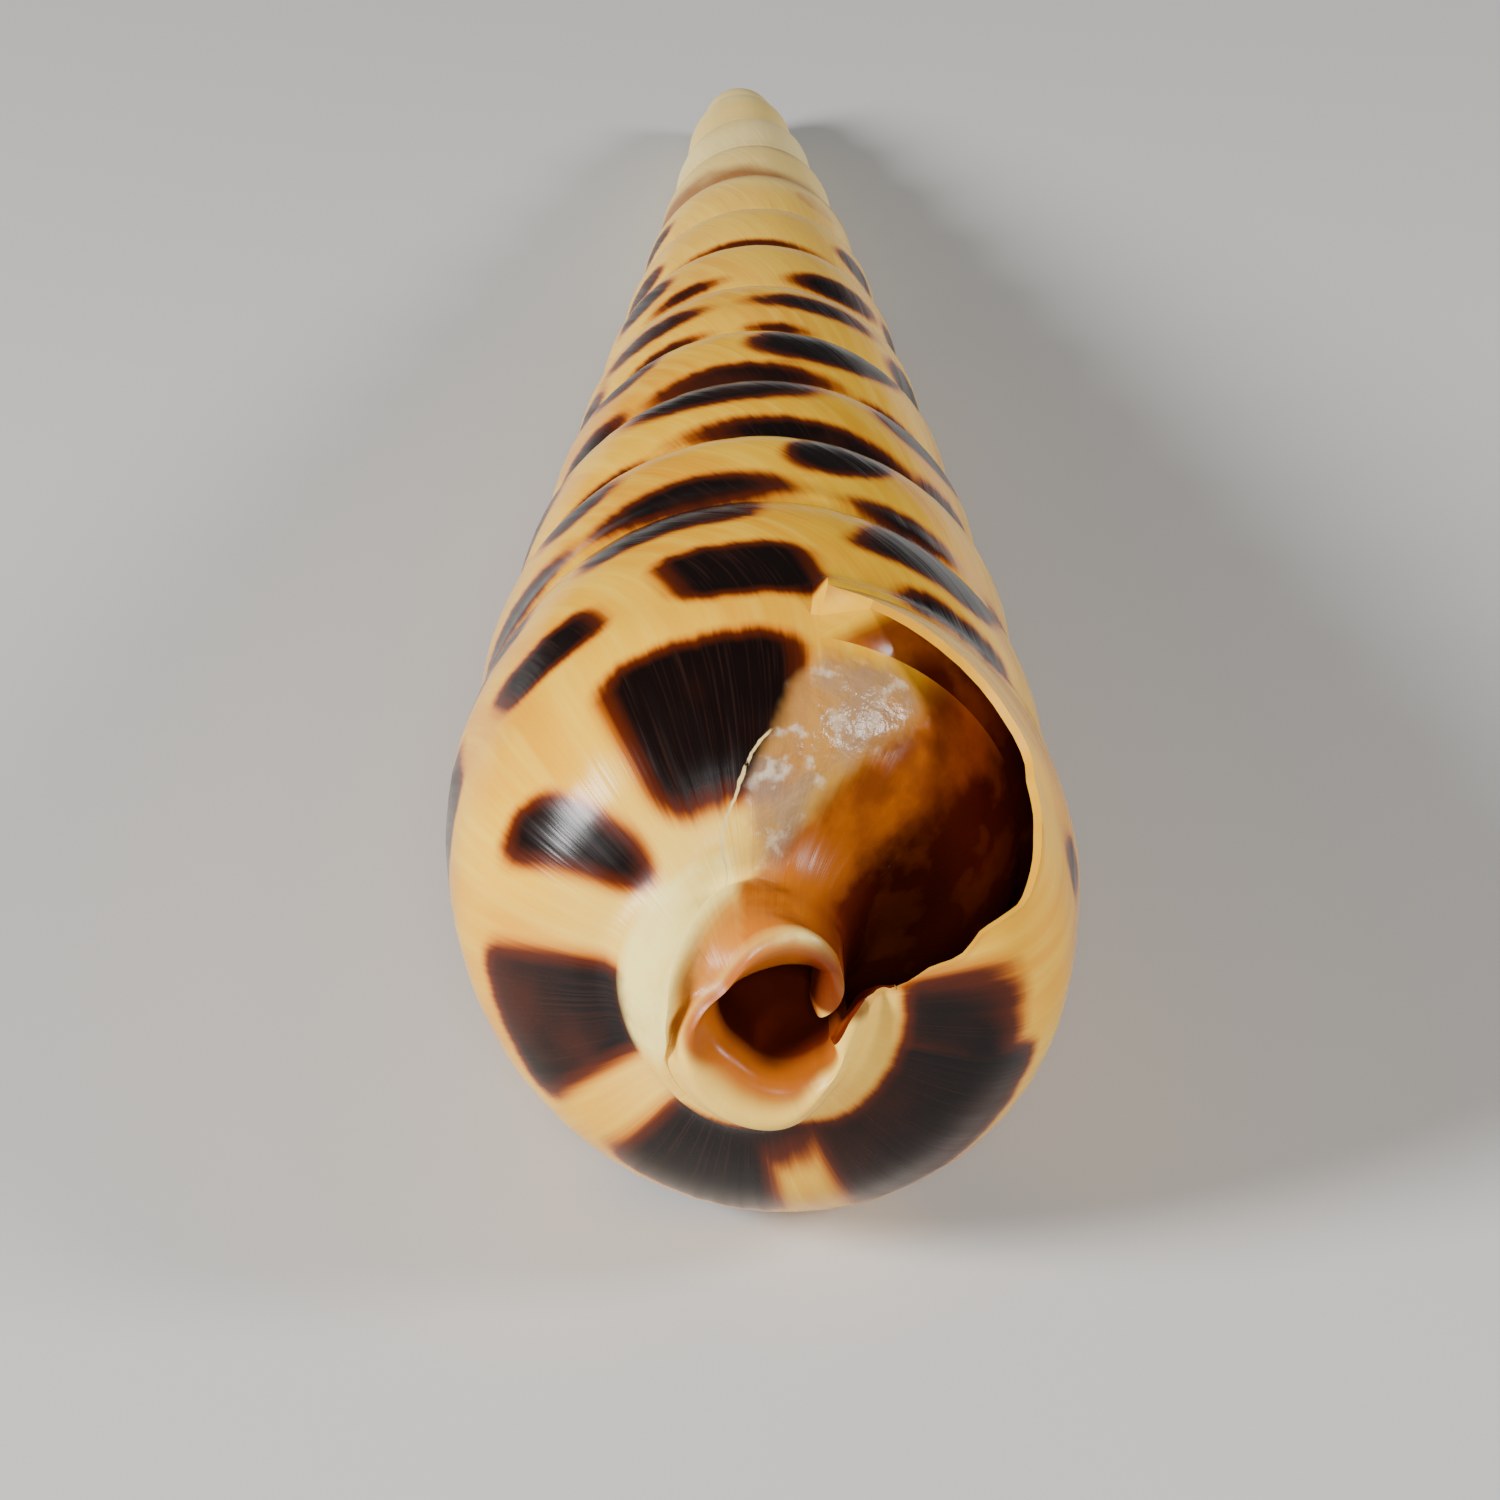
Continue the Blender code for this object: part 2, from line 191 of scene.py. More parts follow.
# side of every whorl, down to the suture of the next
line_turn = LIP_TURN + (np.arange(COLUMNS + 1) - COLUMNS) / LINES
side = lay_out(line_turn, lean_to_lip)
leaned_base = lay_out(line_turn, lean_to_mouth)
ahead = line_turn[:, None] < LEAN_START
side[:, NEXT_ROW + 1:] = np.where(ahead[:, :, None], leaned_base[:, NEXT_ROW + 1:], side[:, NEXT_ROW + 1:])
shared = side.copy()
shared[:MOUTH + 1, NEXT_ROW] = side[LINES:, 0]
shared_side = through_rows(shared, ROW_KNOTS, ROW_PARTS)[:, :SIDE_END + 1]
whole = through_rows(side, ROW_KNOTS, ROW_PARTS)

# the worn tip: the oldest turn stands on a level ring, and takes on the ordinary profile of a whorl little
# by little as it winds
TIP_RING = 0.985                  # the ring's radius as a share of the cone's
ring_height = float(suture_height(line_turn[LINES]))
ring_radius = TIP_RING * cone_radius(ring_height)
first_turn = line_turn[:LINES + 1]
ring = wind(np.full(LINES + 1, ring_radius), first_turn, np.full(LINES + 1, ring_height))
steps = np.linspace(0.0, 1.0, SIDE_END + 1)[None, :, None]
tip_side = ring[:, None] + (shared_side[LINES:2 * LINES + 1, :1] - ring[:, None]) * steps
straight = ring[LINES] + (shared_side[2 * LINES, :1] - ring[LINES]) * steps[0]
swell = np.hypot(*shared_side[LINES].T[[0, 2]]) - np.hypot(*straight.T[[0, 2]])
outward = wind(np.ones(LINES + 1), first_turn, np.zeros(LINES + 1))[:, None]
along = np.linspace(0.0, 1.0, LINES + 1)[:, None, None]
tip_side += along * swell[None, :, None] * outward
tip_side[..., 1] += along[..., 0] * (shared_side[LINES, :, 1] - straight[:, 1])

# ---- the siphonal canal -------------------------------------------------------------------------
# The front end of the columella is a short open spout.  Its thick rim curls as a ribbon from the lip under
# the canal, up its left side and over the top, where the columella's own edge rolls inwards as a scroll.
# Outside it runs the fasciole, the raised band of old canal edges.
CANAL = np.array((0.040, 0.0, -0.003))            # middle of the canal, beside the axis
RIM_REACH = 0.055                                 # how far its scroll runs on past the mouth, in turns
REACH_EASE = 0.12                                 # turns over which it does so
# the rim by turns: outer radius, inner radius, height of its crest and how far it slopes in from there
RIM = (
    (-0.18, 0.112, 0.062, -0.550, 0.060), (-0.12, 0.129, 0.078, -0.568, 0.060),
    (-0.03, 0.156, 0.075, -0.584, 0.058), (0.04, 0.139, 0.073, -0.588, 0.054),
    (0.10, 0.120, 0.076, -0.585, 0.048), (0.16, 0.113, 0.087, -0.583, 0.040),
    (0.22, 0.132, 0.099, -0.590, 0.034), (0.30, 0.159, 0.094, -0.598, 0.028),
    (0.38, 0.173, 0.084, -0.604, 0.026), (0.44, 0.176, 0.086, -0.608, 0.026),
    (0.50, 0.172, 0.090, -0.609, 0.026), (0.60, 0.133, 0.092, -0.606, 0.026),
    (0.66, 0.122, 0.094, -0.600, 0.030), (0.71, 0.121, 0.058, -0.588, 0.050),
    (0.76, 0.129, 0.050, -0.580, 0.060), (0.81, 0.143, 0.058, -0.580, 0.060))
# the fasciole by turns: radius and height of its foot, of its crest and of the groove before the rim
BAND = (
    (-0.18, 0.152, -0.36, 0.150, -0.44, 0.147, -0.50), (-0.06, 0.152, -0.40, 0.151, -0.455, 0.146, -0.51),
    (0.00, 0.150, -0.390, 0.158, -0.440, 0.144, -0.50),
    (0.03, 0.148, -0.400, 0.165, -0.452, 0.142, -0.50),
    (0.07, 0.145, -0.415, 0.164, -0.485, 0.128, -0.528),
    (0.11, 0.147, -0.462, 0.157, -0.530, 0.114, -0.546),
    (0.17, 0.150, -0.500, 0.143, -0.570, 0.106, -0.558),
    (0.22, 0.152, -0.520, 0.131, -0.586, 0.103, -0.562),
    (0.26, 0.155, -0.530, 0.132, -0.588, 0.116, -0.563),
    (0.30, 0.160, -0.536, 0.137, -0.580, 0.128, -0.563),
    (0.34, 0.174, -0.540, 0.157, -0.556, 0.148, -0.560),
    (0.38, 0.186, -0.540, 0.170, -0.550, 0.161, -0.558),
    (0.42, 0.196, -0.540, 0.181, -0.549, 0.173, -0.558),
    (0.50, 0.208, -0.542, 0.197, -0.550, 0.189, -0.560),
    (0.55, 0.205, -0.543, 0.194, -0.551, 0.187, -0.560),
    (0.60, 0.195, -0.543, 0.184, -0.551, 0.177, -0.559),
    (0.66, 0.189, -0.543, 0.178, -0.551, 0.171, -0.559),
    (0.71, 0.189, -0.542, 0.178, -0.550, 0.171, -0.558),
    (0.76, 0.195, -0.542, 0.185, -0.549, 0.178, -0.557),
    (0.81, 0.205, -0.542, 0.196, -0.549, 0.190, -0.557))


def eased(x, table):
    """Values of a table whose first column tells where each row stands, joined by easy curves."""
    stops, values = np.array(table)[:, 0], np.array(table)[:, 1:]
    slope = np.gradient(values, stops, axis=0)
    x = np.clip(x, stops[0], stops[-1])
    k = np.clip(np.searchsorted(stops, x, side="right") - 1, 0, len(stops) - 2)
    width = (stops[k + 1] - stops[k])[:, None]
    s = (x - stops[k])[:, None] / width
    return curve(s, values[k], slope[k] * width, values[k + 1], slope[k + 1] * width).T


last_turn = line_turn[MOUTH:]
front_turn = np.where(ahead[MOUTH:, 0], lean_to_mouth(last_turn[:, None])[:, NECK_ROW],
                      lean_to_lip(last_turn[:, None])[:, NECK_ROW])
front_turn = front_turn + RIM_REACH * smooth_step(1.0 - (last_turn - MOUTH_TURN) / REACH_EASE)
rim_out, rim_in, rim_top, rim_slope = eased(front_turn, RIM)
foot_out, foot_top, crest_out, crest_top, groove_out, groove_top = eased(front_turn, BAND)


def round_canal(radius, height):
    return CANAL + wind(radius, front_turn, height)


front_rules = np.stack((
    wind(foot_out, front_turn, foot_top),
    wind(crest_out, front_turn, crest_top),
    wind(groove_out, front_turn, groove_top),
    round_canal(rim_out, rim_top + 0.012),
    round_canal(rim_out - 0.011, rim_top),
    round_canal(0.45 * rim_out + 0.55 * rim_in, rim_top + 0.16 * rim_slope),
    round_canal(rim_in + 0.006, rim_top + 0.75 * rim_slope),
    round_canal(rim_in - 0.001, rim_top + rim_slope + 0.014),
    round_canal(0.94 * rim_in, rim_top + 0.10),
    round_canal(0.80 * rim_in, rim_top + 0.175),
    round_canal(0.45 * rim_in, rim_top + 0.195)), axis=1)
FRONT_KNOTS = np.array((0.06, 0.11, 0.16, 0.19, 0.204, 0.234, 0.262, 0.276, 0.35, 0.43, 0.47))
FRONT_PARTS = (4, 4, 4, 3, 3, 4, 4, 3, 3, 3, 3)
last_rules = np.concatenate((side[MOUTH:, :NECK_ROW + 1], front_rules), axis=1)
last_knots = np.concatenate((ROW_KNOTS[:NECK_ROW + 1], ROW_KNOTS[NECK_ROW] + FRONT_KNOTS))
last_whorl = through_rows(last_rules, last_knots, ROW_PARTS[:NECK_ROW] + FRONT_PARTS)
LAST_END = last_whorl.shape[1] - 1                # fine row deep in the canal
RIM_EDGE = FLOOR_END + sum(FRONT_PARTS[:4])       # fine row along the outer edge of the rim

# ---- the hollow ---------------------------------------------------------------------------------
# Behind the lip the wall goes on as a winding hollow, as wide as the whorl less its wall; its inner side is
# the outside of the whorl before, which ends in the smooth pillar of the columella.
WALL = 0.036                      # thickness of the whorl wall
LIP_WALL = 0.014                  # thickness of the wall at the lip
THIN_START = 0.55                 # turn from which the wall thins towards the lip
THIN_TURNS = 0.35                 # turns over which it does so
HOLLOW = 1.6                      # turns of open hollow behind the lip
DEEPEST = COLUMNS - int(round(HOLLOW * LINES))    # growth line on which the hollow ends
PILLAR_FOOT = 0.300               # the pillar's radius at its foot, as a share of the whorl's
PILLAR_WAIST = 0.305              # and half way down to it
PILLAR_KNOTS = np.array((0.0, 0.08, 0.16, 0.24))
PILLAR_PARTS = (1, 7, RIM_EDGE - FLOOR_END - 7)
BEND_LINES = 16.0                 # growth lines over which it bends into the rim
FLOOR_GAP = 1.03                  # where the hollow's floor ends, as a share of the pillar's radius


def move_inwards(surface):
    """The side and base of a whorl, moved in by the wall, down to the floor of the hollow."""
    radius = np.hypot(surface[..., 0], surface[..., 2])
    height = surface[..., 1]
    along_r = np.gradient(radius, axis=1)
    along_h = np.gradient(height, axis=1)
    length = np.hypot(along_r, along_h)
    wall = WALL + (LIP_WALL - WALL) * smooth_step((line_turn[:, None] - THIN_START) / THIN_TURNS)
    inner_radius = radius + wall * along_h / length
    inner_height = height - wall * along_r / length
    stretch = (inner_radius / radius)[..., None]
    moved = surface * (1.0, 0.0, 1.0) * stretch
    moved[..., 1] = inner_height
    return moved


hollow = move_inwards(whole)[:, :FLOOR_END + 1]
floor_end = hollow[:, -1].copy()
pillar_turn = lean_to_mouth(line_turn[:, None])[:, NECK_ROW]
pillar_turn = pillar_turn + RIM_REACH * smooth_step(1.0 - np.abs(line_turn - MOUTH_TURN) / REACH_EASE)
after = np.minimum(np.arange(COLUMNS + 1) + LINES, COLUMNS)
pillar_foot = wind(PILLAR_FOOT * whorl_radius(pillar_turn), pillar_turn, floor_end[after, 1])
pillar_start = whole[:, FLOOR_END]
waist_height = 0.45 * pillar_start[:, 1] + 0.55 * pillar_foot[:, 1]
pillar_waist = wind(PILLAR_WAIST * whorl_radius(pillar_turn), pillar_turn, waist_height)
pillar_rules = np.stack((whole[:, FLOOR_END - 4], pillar_start, pillar_waist, pillar_foot), axis=1)
pillar = through_rows(pillar_rules, PILLAR_KNOTS, PILLAR_PARTS)[:, 2:]

# near the mouth the pillar bends over into the rim of the canal
bend = (last_whorl[0, RIM_EDGE] - pillar[MOUTH, -1]) * (1.0, 0.0, 1.0)
bend = bend * np.linspace(0.0, 1.0, pillar.shape[1])[None, :, None]
pillar += bend * smooth_step(1.0 - np.abs(np.arange(COLUMNS + 1) - MOUTH) / BEND_LINES)[:, None, None]

# the floor of the hollow runs in to the pillar of the turn before
before = np.maximum(np.arange(COLUMNS + 1) - LINES, 0)
floor_target = pillar[before, -1] * (FLOOR_GAP, 0.0, FLOOR_GAP) + floor_end * (0.0, 1.0, 0.0)
floor_steps = np.linspace(0.0, 1.0, RIM_EDGE - FLOOR_END + 1)[1:]
floor_rows = floor_end[:, None] + (floor_target - floor_end)[:, None] * floor_steps[None, :, None]
hollow = np.concatenate((hollow, floor_rows), axis=1)

# ---- joining the sheets into one closed wall ----------------------------------------------------
# Growth lines are joined to their neighbours, each whorl to the one above along the suture, and the outer
# wall to the inner one round the lip, so that the shell is one closed surface.
OVER = ROW_PARTS[0]                               # fine row where the hollow begins, below the suture
UNDER = SIDE_END + ROW_PARTS[NEXT_ROW]            # fine row of the whorl before that it begins on
OUTSIDE, PILLAR, HOLLOW_WALL, FRONT, TIP = range(5)
points = []
line_of = []
row_of = []
part_of = []


def add_grid(grid, columns, rows, part):
    """Adds a block of points; returns their numbers as a table by column and row."""
    start = sum(len(block) for block in points)
    points.append(grid.reshape(-1, 3))
    line_of.append(np.repeat(columns, len(rows)))
    row_of.append(np.tile(rows, len(columns)))
    part_of.append(np.full(grid.shape[0] * grid.shape[1], part))
    return start + np.arange(grid.shape[0] * grid.shape[1]).reshape(grid.shape[0], grid.shape[1])


side_rows = np.arange(SIDE_END)
outer = np.zeros((COLUMNS + 1, SIDE_END + 1), int)
outer[:LINES, :SIDE_END] = add_grid(tip_side[:LINES, :SIDE_END], np.arange(LINES), side_rows, OUTSIDE)
body_columns = np.arange(LINES, COLUMNS + 1)
outer[LINES:, :SIDE_END] = add_grid(shared_side[LINES:, :SIDE_END], body_columns, side_rows, OUTSIDE)
outer[:MOUTH + 1, SIDE_END] = outer[LINES:, 0]

last_columns = np.arange(MOUTH, COLUMNS + 1)
last_rows = np.arange(SIDE_END, LAST_END + 1)
last = add_grid(last_whorl[:, SIDE_END:], last_columns, last_rows, FRONT)
last[0, 0] = outer[MOUTH, SIDE_END]
outer[MOUTH + 1:, SIDE_END] = last[1:, 0]

covered_columns = np.arange(DEEPEST - LINES, MOUTH)
covered_rows = np.arange(UNDER, RIM_EDGE + 1)
covered_sheet = np.concatenate((whole[:, UNDER:FLOOR_END + 1], pillar), axis=1)[DEEPEST - LINES:MOUTH]
covered = add_grid(covered_sheet, covered_columns, covered_rows, PILLAR)
covered = np.concatenate((covered, last[:1, UNDER - SIDE_END:RIM_EDGE - SIDE_END + 1]), axis=0)

hollow_columns = np.arange(DEEPEST, COLUMNS + 1)
hollow_rows = np.arange(OVER, RIM_EDGE + 1)
inner = add_grid(hollow[DEEPEST:, OVER:], hollow_columns, hollow_rows, HOLLOW_WALL)

# faces as four corner numbers, and for each corner its column and row on its own sheet
quads = []
corner_line = []
corner_row = []
corner_part = []


def join(numbers, columns, rows, part, flip=False):
    """Faces between neighbouring columns and rows of a table of numbers."""
    line = np.broadcast_to(np.asarray(columns, float)[:, None], numbers.shape)
    row = np.broadcast_to(np.asarray(rows, float)[None, :], numbers.shape)
    first, second = slice(None, -1), slice(1, None)
    corners = [(first, first), (second, first), (second, second), (first, second)]
    if flip:
        corners = corners[::-1]
    for gathered, table in ((quads, numbers), (corner_line, line), (corner_row, row)):
        gathered.append(np.stack([table[c].ravel() for c in corners], axis=1))
    corner_part.append(np.full(len(quads[-1]), part))


join(outer, np.arange(COLUMNS + 1), np.arange(SIDE_END + 1), OUTSIDE)
join(last, last_columns, last_rows, FRONT)
join(covered, np.append(covered_columns, MOUTH), covered_rows, PILLAR)
join(inner, hollow_columns, hollow_rows, HOLLOW_WALL, flip=True)
upper = np.stack((covered[:, 0], inner[:, 0]), axis=1)
join(upper, hollow_columns, (OVER - 1, OVER), HOLLOW_WALL, flip=True)
lower = np.stack((inner[:, -1], covered[:, -1]), axis=1)
join(lower, hollow_columns, (RIM_EDGE, RIM_EDGE), HOLLOW_WALL, flip=True)
lip_outer = np.concatenate((outer[-1, OVER:SIDE_END], last[-1, :RIM_EDGE - SIDE_END + 1]))
join(np.stack((lip_outer, inner[-1]), axis=0), (COLUMNS, COLUMNS), hollow_rows, FRONT)
seam = np.stack((last[-1, RIM_EDGE - SIDE_END:], last[0, RIM_EDGE - SIDE_END:]), axis=0)
join(seam, (COLUMNS, MOUTH), np.arange(RIM_EDGE, LAST_END + 1), FRONT)

# the corner between the lip and the suture, and the foot of the seam, are closed with triangles
corner_end = list(last[0, 1:UNDER - SIDE_END + 1][::-1]) + list(outer[-1, :OVER + 1])
triangles = []
for here, there in zip(corner_end, corner_end[1:]):
    triangles.append((inner[-1, 0], here, there, there, COLUMNS, 0))
triangles.append((seam[0, 0], seam[1, 0], inner[-1, -1], inner[-1, -1], COLUMNS, RIM_EDGE))

# the rounded tip
TIP_HEIGHT = 3.83                 # height of the worn tip
TIP_RINGS = 6                     # rings of points between the level ring and the tip
tip_rings = []
for step in np.linspace(0.0, 1.0, TIP_RINGS + 2)[1:-1]:
    lift = math.sin(0.5 * math.pi * step)
    pull = math.cos(0.5 * math.pi * step) ** 0.6
    level = ring_height + (TIP_HEIGHT - ring_height) * lift
    tip_rings.append(wind(np.full(LINES, ring_radius * pull), line_turn[:LINES], np.full(LINES, level)))
dome = add_grid(np.stack(tip_rings[::-1], axis=1), np.arange(LINES), np.arange(-TIP_RINGS, 0), TIP)
dome = np.concatenate((dome, outer[:LINES, :1]), axis=1)
dome = np.concatenate((dome, dome[:1]), axis=0)
join(dome, np.arange(LINES + 1), np.arange(-TIP_RINGS, 1), TIP)


def close_with_fan(loop, part, line, row):
    """Closes a ring of points with triangles to one new point in its middle."""
    mean = np.concatenate(points)[loop].mean(axis=0)[None, None]
    middle = add_grid(mean, np.array([line]), np.array([row]), part)[0, 0]
    for here, there in zip(loop, np.roll(loop, -1)):
        triangles.append((here, there, middle, middle, line, row))
    return middle


tip_point = close_with_fan(dome[:-1, 0][::-1], TIP, 0, -TIP_RINGS - 1)
close_with_fan(last[:, -1], FRONT, MOUTH, LAST_END)
close_with_fan(np.concatenate((inner[0], covered[0][::-1])), HOLLOW_WALL, DEEPEST, OVER)

place = np.concatenate(points)
place[tip_point] = (0.0, TIP_HEIGHT, 0.0)
lines = np.concatenate(line_of).astype(float)
rows = np.concatenate(row_of).astype(float)
fans = np.array([t[:4] for t in triangles])
fan_line = np.repeat(np.array([t[4] for t in triangles], float)[:, None], 4, axis=1)
fan_row = np.repeat(np.array([t[5] for t in triangles], float)[:, None], 4, axis=1)
faces = np.concatenate(quads + [fans])
face_line = np.concatenate(corner_line + [fan_line])
face_row = np.concatenate(corner_row + [fan_row])
face_part = np.concatenate(corner_part + [np.full(len(fans), FRONT)])

# the lip's edge is a little ragged
CHIP_DEPTH = 0.0042               # how far a chip goes back, in turns
CHIP_ROWS = 2.6                   # fine rows from one chip to the next
CHIP_LINES = 12.0                 # growth lines over which the chips fade out behind the lip
CHIPS = 200
chips = CHIP_DEPTH * np.random.default_rng(8).normal(size=CHIPS)
chips = np.interp(rows / CHIP_ROWS, np.arange(CHIPS), chips)
chips *= smooth_step((lines - COLUMNS + CHIP_LINES) / CHIP_LINES)
chips *= smooth_step((rows - OVER - 3.0) / 6.0) * smooth_step((RIM_EDGE - 9.0 - rows) / 8.0)
sway, rise = np.sin(2.0 * math.pi * chips), np.cos(2.0 * math.pi * chips)
x, y, z = place.T
place = np.stack((x * rise - z * sway, y, z * rise + x * sway), axis=1)

# ---- the dark marks -----------------------------------------------------------------------------
# The marks were laid down at the lip in three spiral rows, squarish on the last whorl and rounder on the
# spire, so every corner of the wall is given its turn round the axis and its drop below the suture, and
# from them its distance to the nearest mark.
corner = place[faces]
corner_height = corner[..., 1]
corner_radius = np.hypot(corner[..., 0], corner[..., 2])
corner_angle = np.arctan2(-corner[..., 0], corner[..., 2]) / (2.0 * math.pi)
growth = LIP_TURN + (face_line - COLUMNS) / LINES
corner_turn = corner_angle + np.round(growth - corner_angle)
corner_drop = suture_height(corner_turn) - corner_height

# each mark's turn, drop below the suture, half width in turns, half height, and slant: turns per unit drop
FRONT_MARKS = (
    (0.031, 0.612, 0.063, 0.108, -0.05), (0.158, 0.645, 0.027, 0.086, -0.33),
    (0.300, 0.636, 0.055, 0.100, -0.15), (0.462, 0.660, 0.058, 0.106, 0.00),
    (0.540, 0.735, 0.070, 0.068, 0.00), (0.643, 0.625, 0.083, 0.094, 0.00),
    (0.745, 0.598, 0.045, 0.030, 0.00))
SIDE_MARKS = (
    (0.008, 0.330, 0.043, 0.092, -0.10), (0.124, 0.335, 0.038, 0.065, -0.12),
    (-0.118, 0.350, 0.042, 0.080, 0.08), (0.238, 0.280, 0.036, 0.085, 0.0),
    (0.785, 0.300, 0.016, 0.050, 0.0), (0.050, 0.060, 0.052, 0.078, 0.0),
    (-0.110, 0.110, 0.050, 0.110, 0.15), (0.185, 0.070, 0.045, 0.070, 0.0),
    (-0.960, 0.318, 0.057, 0.072, -0.05), (-1.094, 0.335, 0.036, 0.050, 0.10),
    (-1.215, 0.330, 0.040, 0.060, 0.0), (-0.835, 0.310, 0.045, 0.065, 0.0),
    (-1.052, 0.132, 0.030, 0.110, 0.12), (-0.885, 0.132, 0.026, 0.053, 0.0),
    (-2.040, 0.330, 0.080, 0.065, -0.25), (-1.885, 0.350, 0.040, 0.039, -0.3),
    (-1.975, 0.102, 0.063, 0.094, 0.0), (-2.170, 0.320, 0.046, 0.065, 0.0),
    (-1.800, 0.122, 0.046, 0.071, 0.0), (-2.130, 0.112, 0.040, 0.071, 0.0),
    (-2.990, 0.315, 0.070, 0.058, -0.10), (-3.135, 0.330, 0.048, 0.031, 0.3),
    (-3.062, 0.122, 0.059, 0.112, 0.2), (-2.888, 0.092, 0.030, 0.069, 0.0),
    (-2.850, 0.300, 0.040, 0.065, 0.0), (-3.230, 0.290, 0.040, 0.065, 0.0),
    (-4.020, 0.315, 0.025, 0.026, 0.0), (-3.915, 0.315, 0.034, 0.029, 0.0),
    (-4.056, 0.165, 0.055, 0.044, 0.3), (-3.902, 0.175, 0.047, 0.046, -0.2),
    (-4.180, 0.230, 0.040, 0.065, 0.0), (-3.800, 0.240, 0.040, 0.065, 0.0),
    (-4.925, 0.270, 0.034, 0.029, 0.0), (-5.092, 0.245, 0.047, 0.058, 0.4),
    (-4.870, 0.152, 0.034, 0.055, 0.0), (-5.200, 0.200, 0.034, 0.052, 0.0),
    (-5.997, 0.295, 0.075, 0.021, 0.0), (-5.840, 0.220, 0.034, 0.046, 0.0),
    (-6.150, 0.200, 0.036, 0.046, 0.0), (-7.110, 0.170, 0.034, 0.039, 0.0),
    (-6.830, 0.170, 0.034, 0.039, 0.0))
HIDDEN_ROWS = (0.26, 0.78)        # drop of the rows of marks on the underside, as shares of a whorl's height
HIDDEN_TALL = 0.17                # half height of these marks, as a share of the same
OLDEST_MARKED = -7                # first whorl with marks that can be told apart
grown = np.random.default_rng(17)
marks = list(FRONT_MARKS + SIDE_MARKS)
for whorl in range(OLDEST_MARKED, 1):
    tall = float(suture_height(whorl) - suture_height(whorl + 1.0))
    for row_drop in HIDDEN_ROWS:
        spot = whorl + 0.30 + 0.03 * grown.random()
        stop = whorl + 0.75 if whorl < 0 else 0.72
        while spot < stop:
            marks.append((spot, row_drop * tall + 0.015 * grown.normal(), 0.030 + 0.020 * grown.random(),
                          HIDDEN_TALL * tall * (0.8 + 0.4 * grown.random()), 0.15 * grown.normal()))
            spot += 0.125 + 0.035 * grown.random()

FAR = 0.2                         # distance from which on a mark or the glaze no longer shows
SPIRE_END = -0.3                  # turn up to which the marks are round
ROUNDING = 0.045                  # corner radius of the squarish marks after it
ROUND_WIDTH = 1.12                # how much wider than their own width the round ones are drawn
MARK_REACH = 0.12                 # how far beside a mark its distance is taken, in turns
mark = np.full(corner_turn.shape, FAR)
for turn, drop, half_turn, half_drop, slant in marks:
    near = np.abs(corner_turn - turn) < half_turn + MARK_REACH
    across = np.abs(corner_turn[near] - turn - slant * (corner_drop[near] - drop)) - half_turn
    down = np.abs(corner_drop[near] - drop) - half_drop
    if turn < SPIRE_END:
        share_across = np.abs(across / half_turn + 1.0) / ROUND_WIDTH
        share_down = np.abs(down / half_drop + 1.0)
        distance = (np.sqrt(share_across ** 2.0 + share_down ** 2.0) - 1.0) * 0.9 * half_drop
    else:
        rounding = min(ROUNDING, 0.7 * half_drop)
        across = 0.75 * across * 2.0 * math.pi * corner_radius[near] + rounding
        down = down + rounding
        distance = (np.hypot(np.maximum(across, 0.0), np.maximum(down, 0.0))
                    + np.minimum(np.maximum(across, down), 0.0) - rounding)
    mark[near] = np.minimum(mark[near], distance)

# ---- staining and wear, with painted glow, shade and highlight ----------------------------------
# Inside, the enamel goes from amber at the lip, partly stain and partly painted glow of light through the
# wall, to deep brown, partly stain and partly painted shade deeper in; the rim of the canal is amber on its
# inner side, painted dark as shade deep in the canal, and chalky where it is worn, with a painted highlight
# on the crest of its arc; a patch of grey glaze lies on the wall behind the mouth.
part = np.broadcast_to(face_part[:, None], growth.shape)
on_hollow = (part == HOLLOW_WALL)
on_pillar = (part == PILLAR)
on_front = (part == FRONT)
on_rim = on_front & (face_row > RIM_EDGE - 0.5)
rim_turn = front_turn[np.clip(face_line - MOUTH, 0, LINES).astype(int)]
rim_across = (face_row - RIM_EDGE) / sum(FRONT_PARTS[4:8])     # 0 on the rim's outer edge, 1 well inside


def ramp(x, start, end):
    """Goes smoothly from 0 at the start to 1 at the end, which may lie below the start."""
    return smooth_step((x - start) / (end - start))


# the wall of the hollow: amber, partly stain and partly painted glow of light through the wall, going to
# brown deeper in, partly stain and partly painted shade; a little paler where light comes in at the lip
behind_lip = LIP_TURN - growth
glow = hump(corner_drop, 0.62, 0.10) * hump(behind_lip, 0.22, 0.12)
amber = np.where(on_hollow, ramp(behind_lip, 0.0, 0.02), 0.0)
# brown deeper in the hollow is partly stain and partly painted shade
brown_and_shade = np.where(on_hollow, (0.90 - 0.40 * glow) * ramp(behind_lip, 0.03, 0.10), 0.0)

# the wall of the mouth and the pillar, where the outer colours end: drop and turn of the ends
AMBER_EDGE = (
    (0.48, -0.112), (0.53, -0.106), (0.60, -0.096), (0.67, -0.076), (0.72, -0.055), (0.755, -0.012),
    (0.79, 0.030), (0.85, 0.034))
BROWN_EDGE = (
    (0.48, -0.136), (0.53, -0.130), (0.60, -0.128), (0.67, -0.124), (0.74, -0.108), (0.80, -0.080),
    (0.85, -0.062))
mouth_wall = (on_front & (face_row < RIM_EDGE) & (rim_turn < 0.3)) | on_pillar
past_amber = corner_turn - np.interp(corner_drop, *zip(*AMBER_EDGE))
past_brown = corner_turn - np.interp(corner_drop, *zip(*BROWN_EDGE))
amber = np.where(mouth_wall, ramp(past_amber, 0.012, -0.018), amber)
# the brown on the mouth wall and pillar is partly stain and partly painted shade deeper in the mouth
brown_and_shade = np.where(mouth_wall, 0.95 * ramp(past_brown, 0.0, -0.090), brown_and_shade)
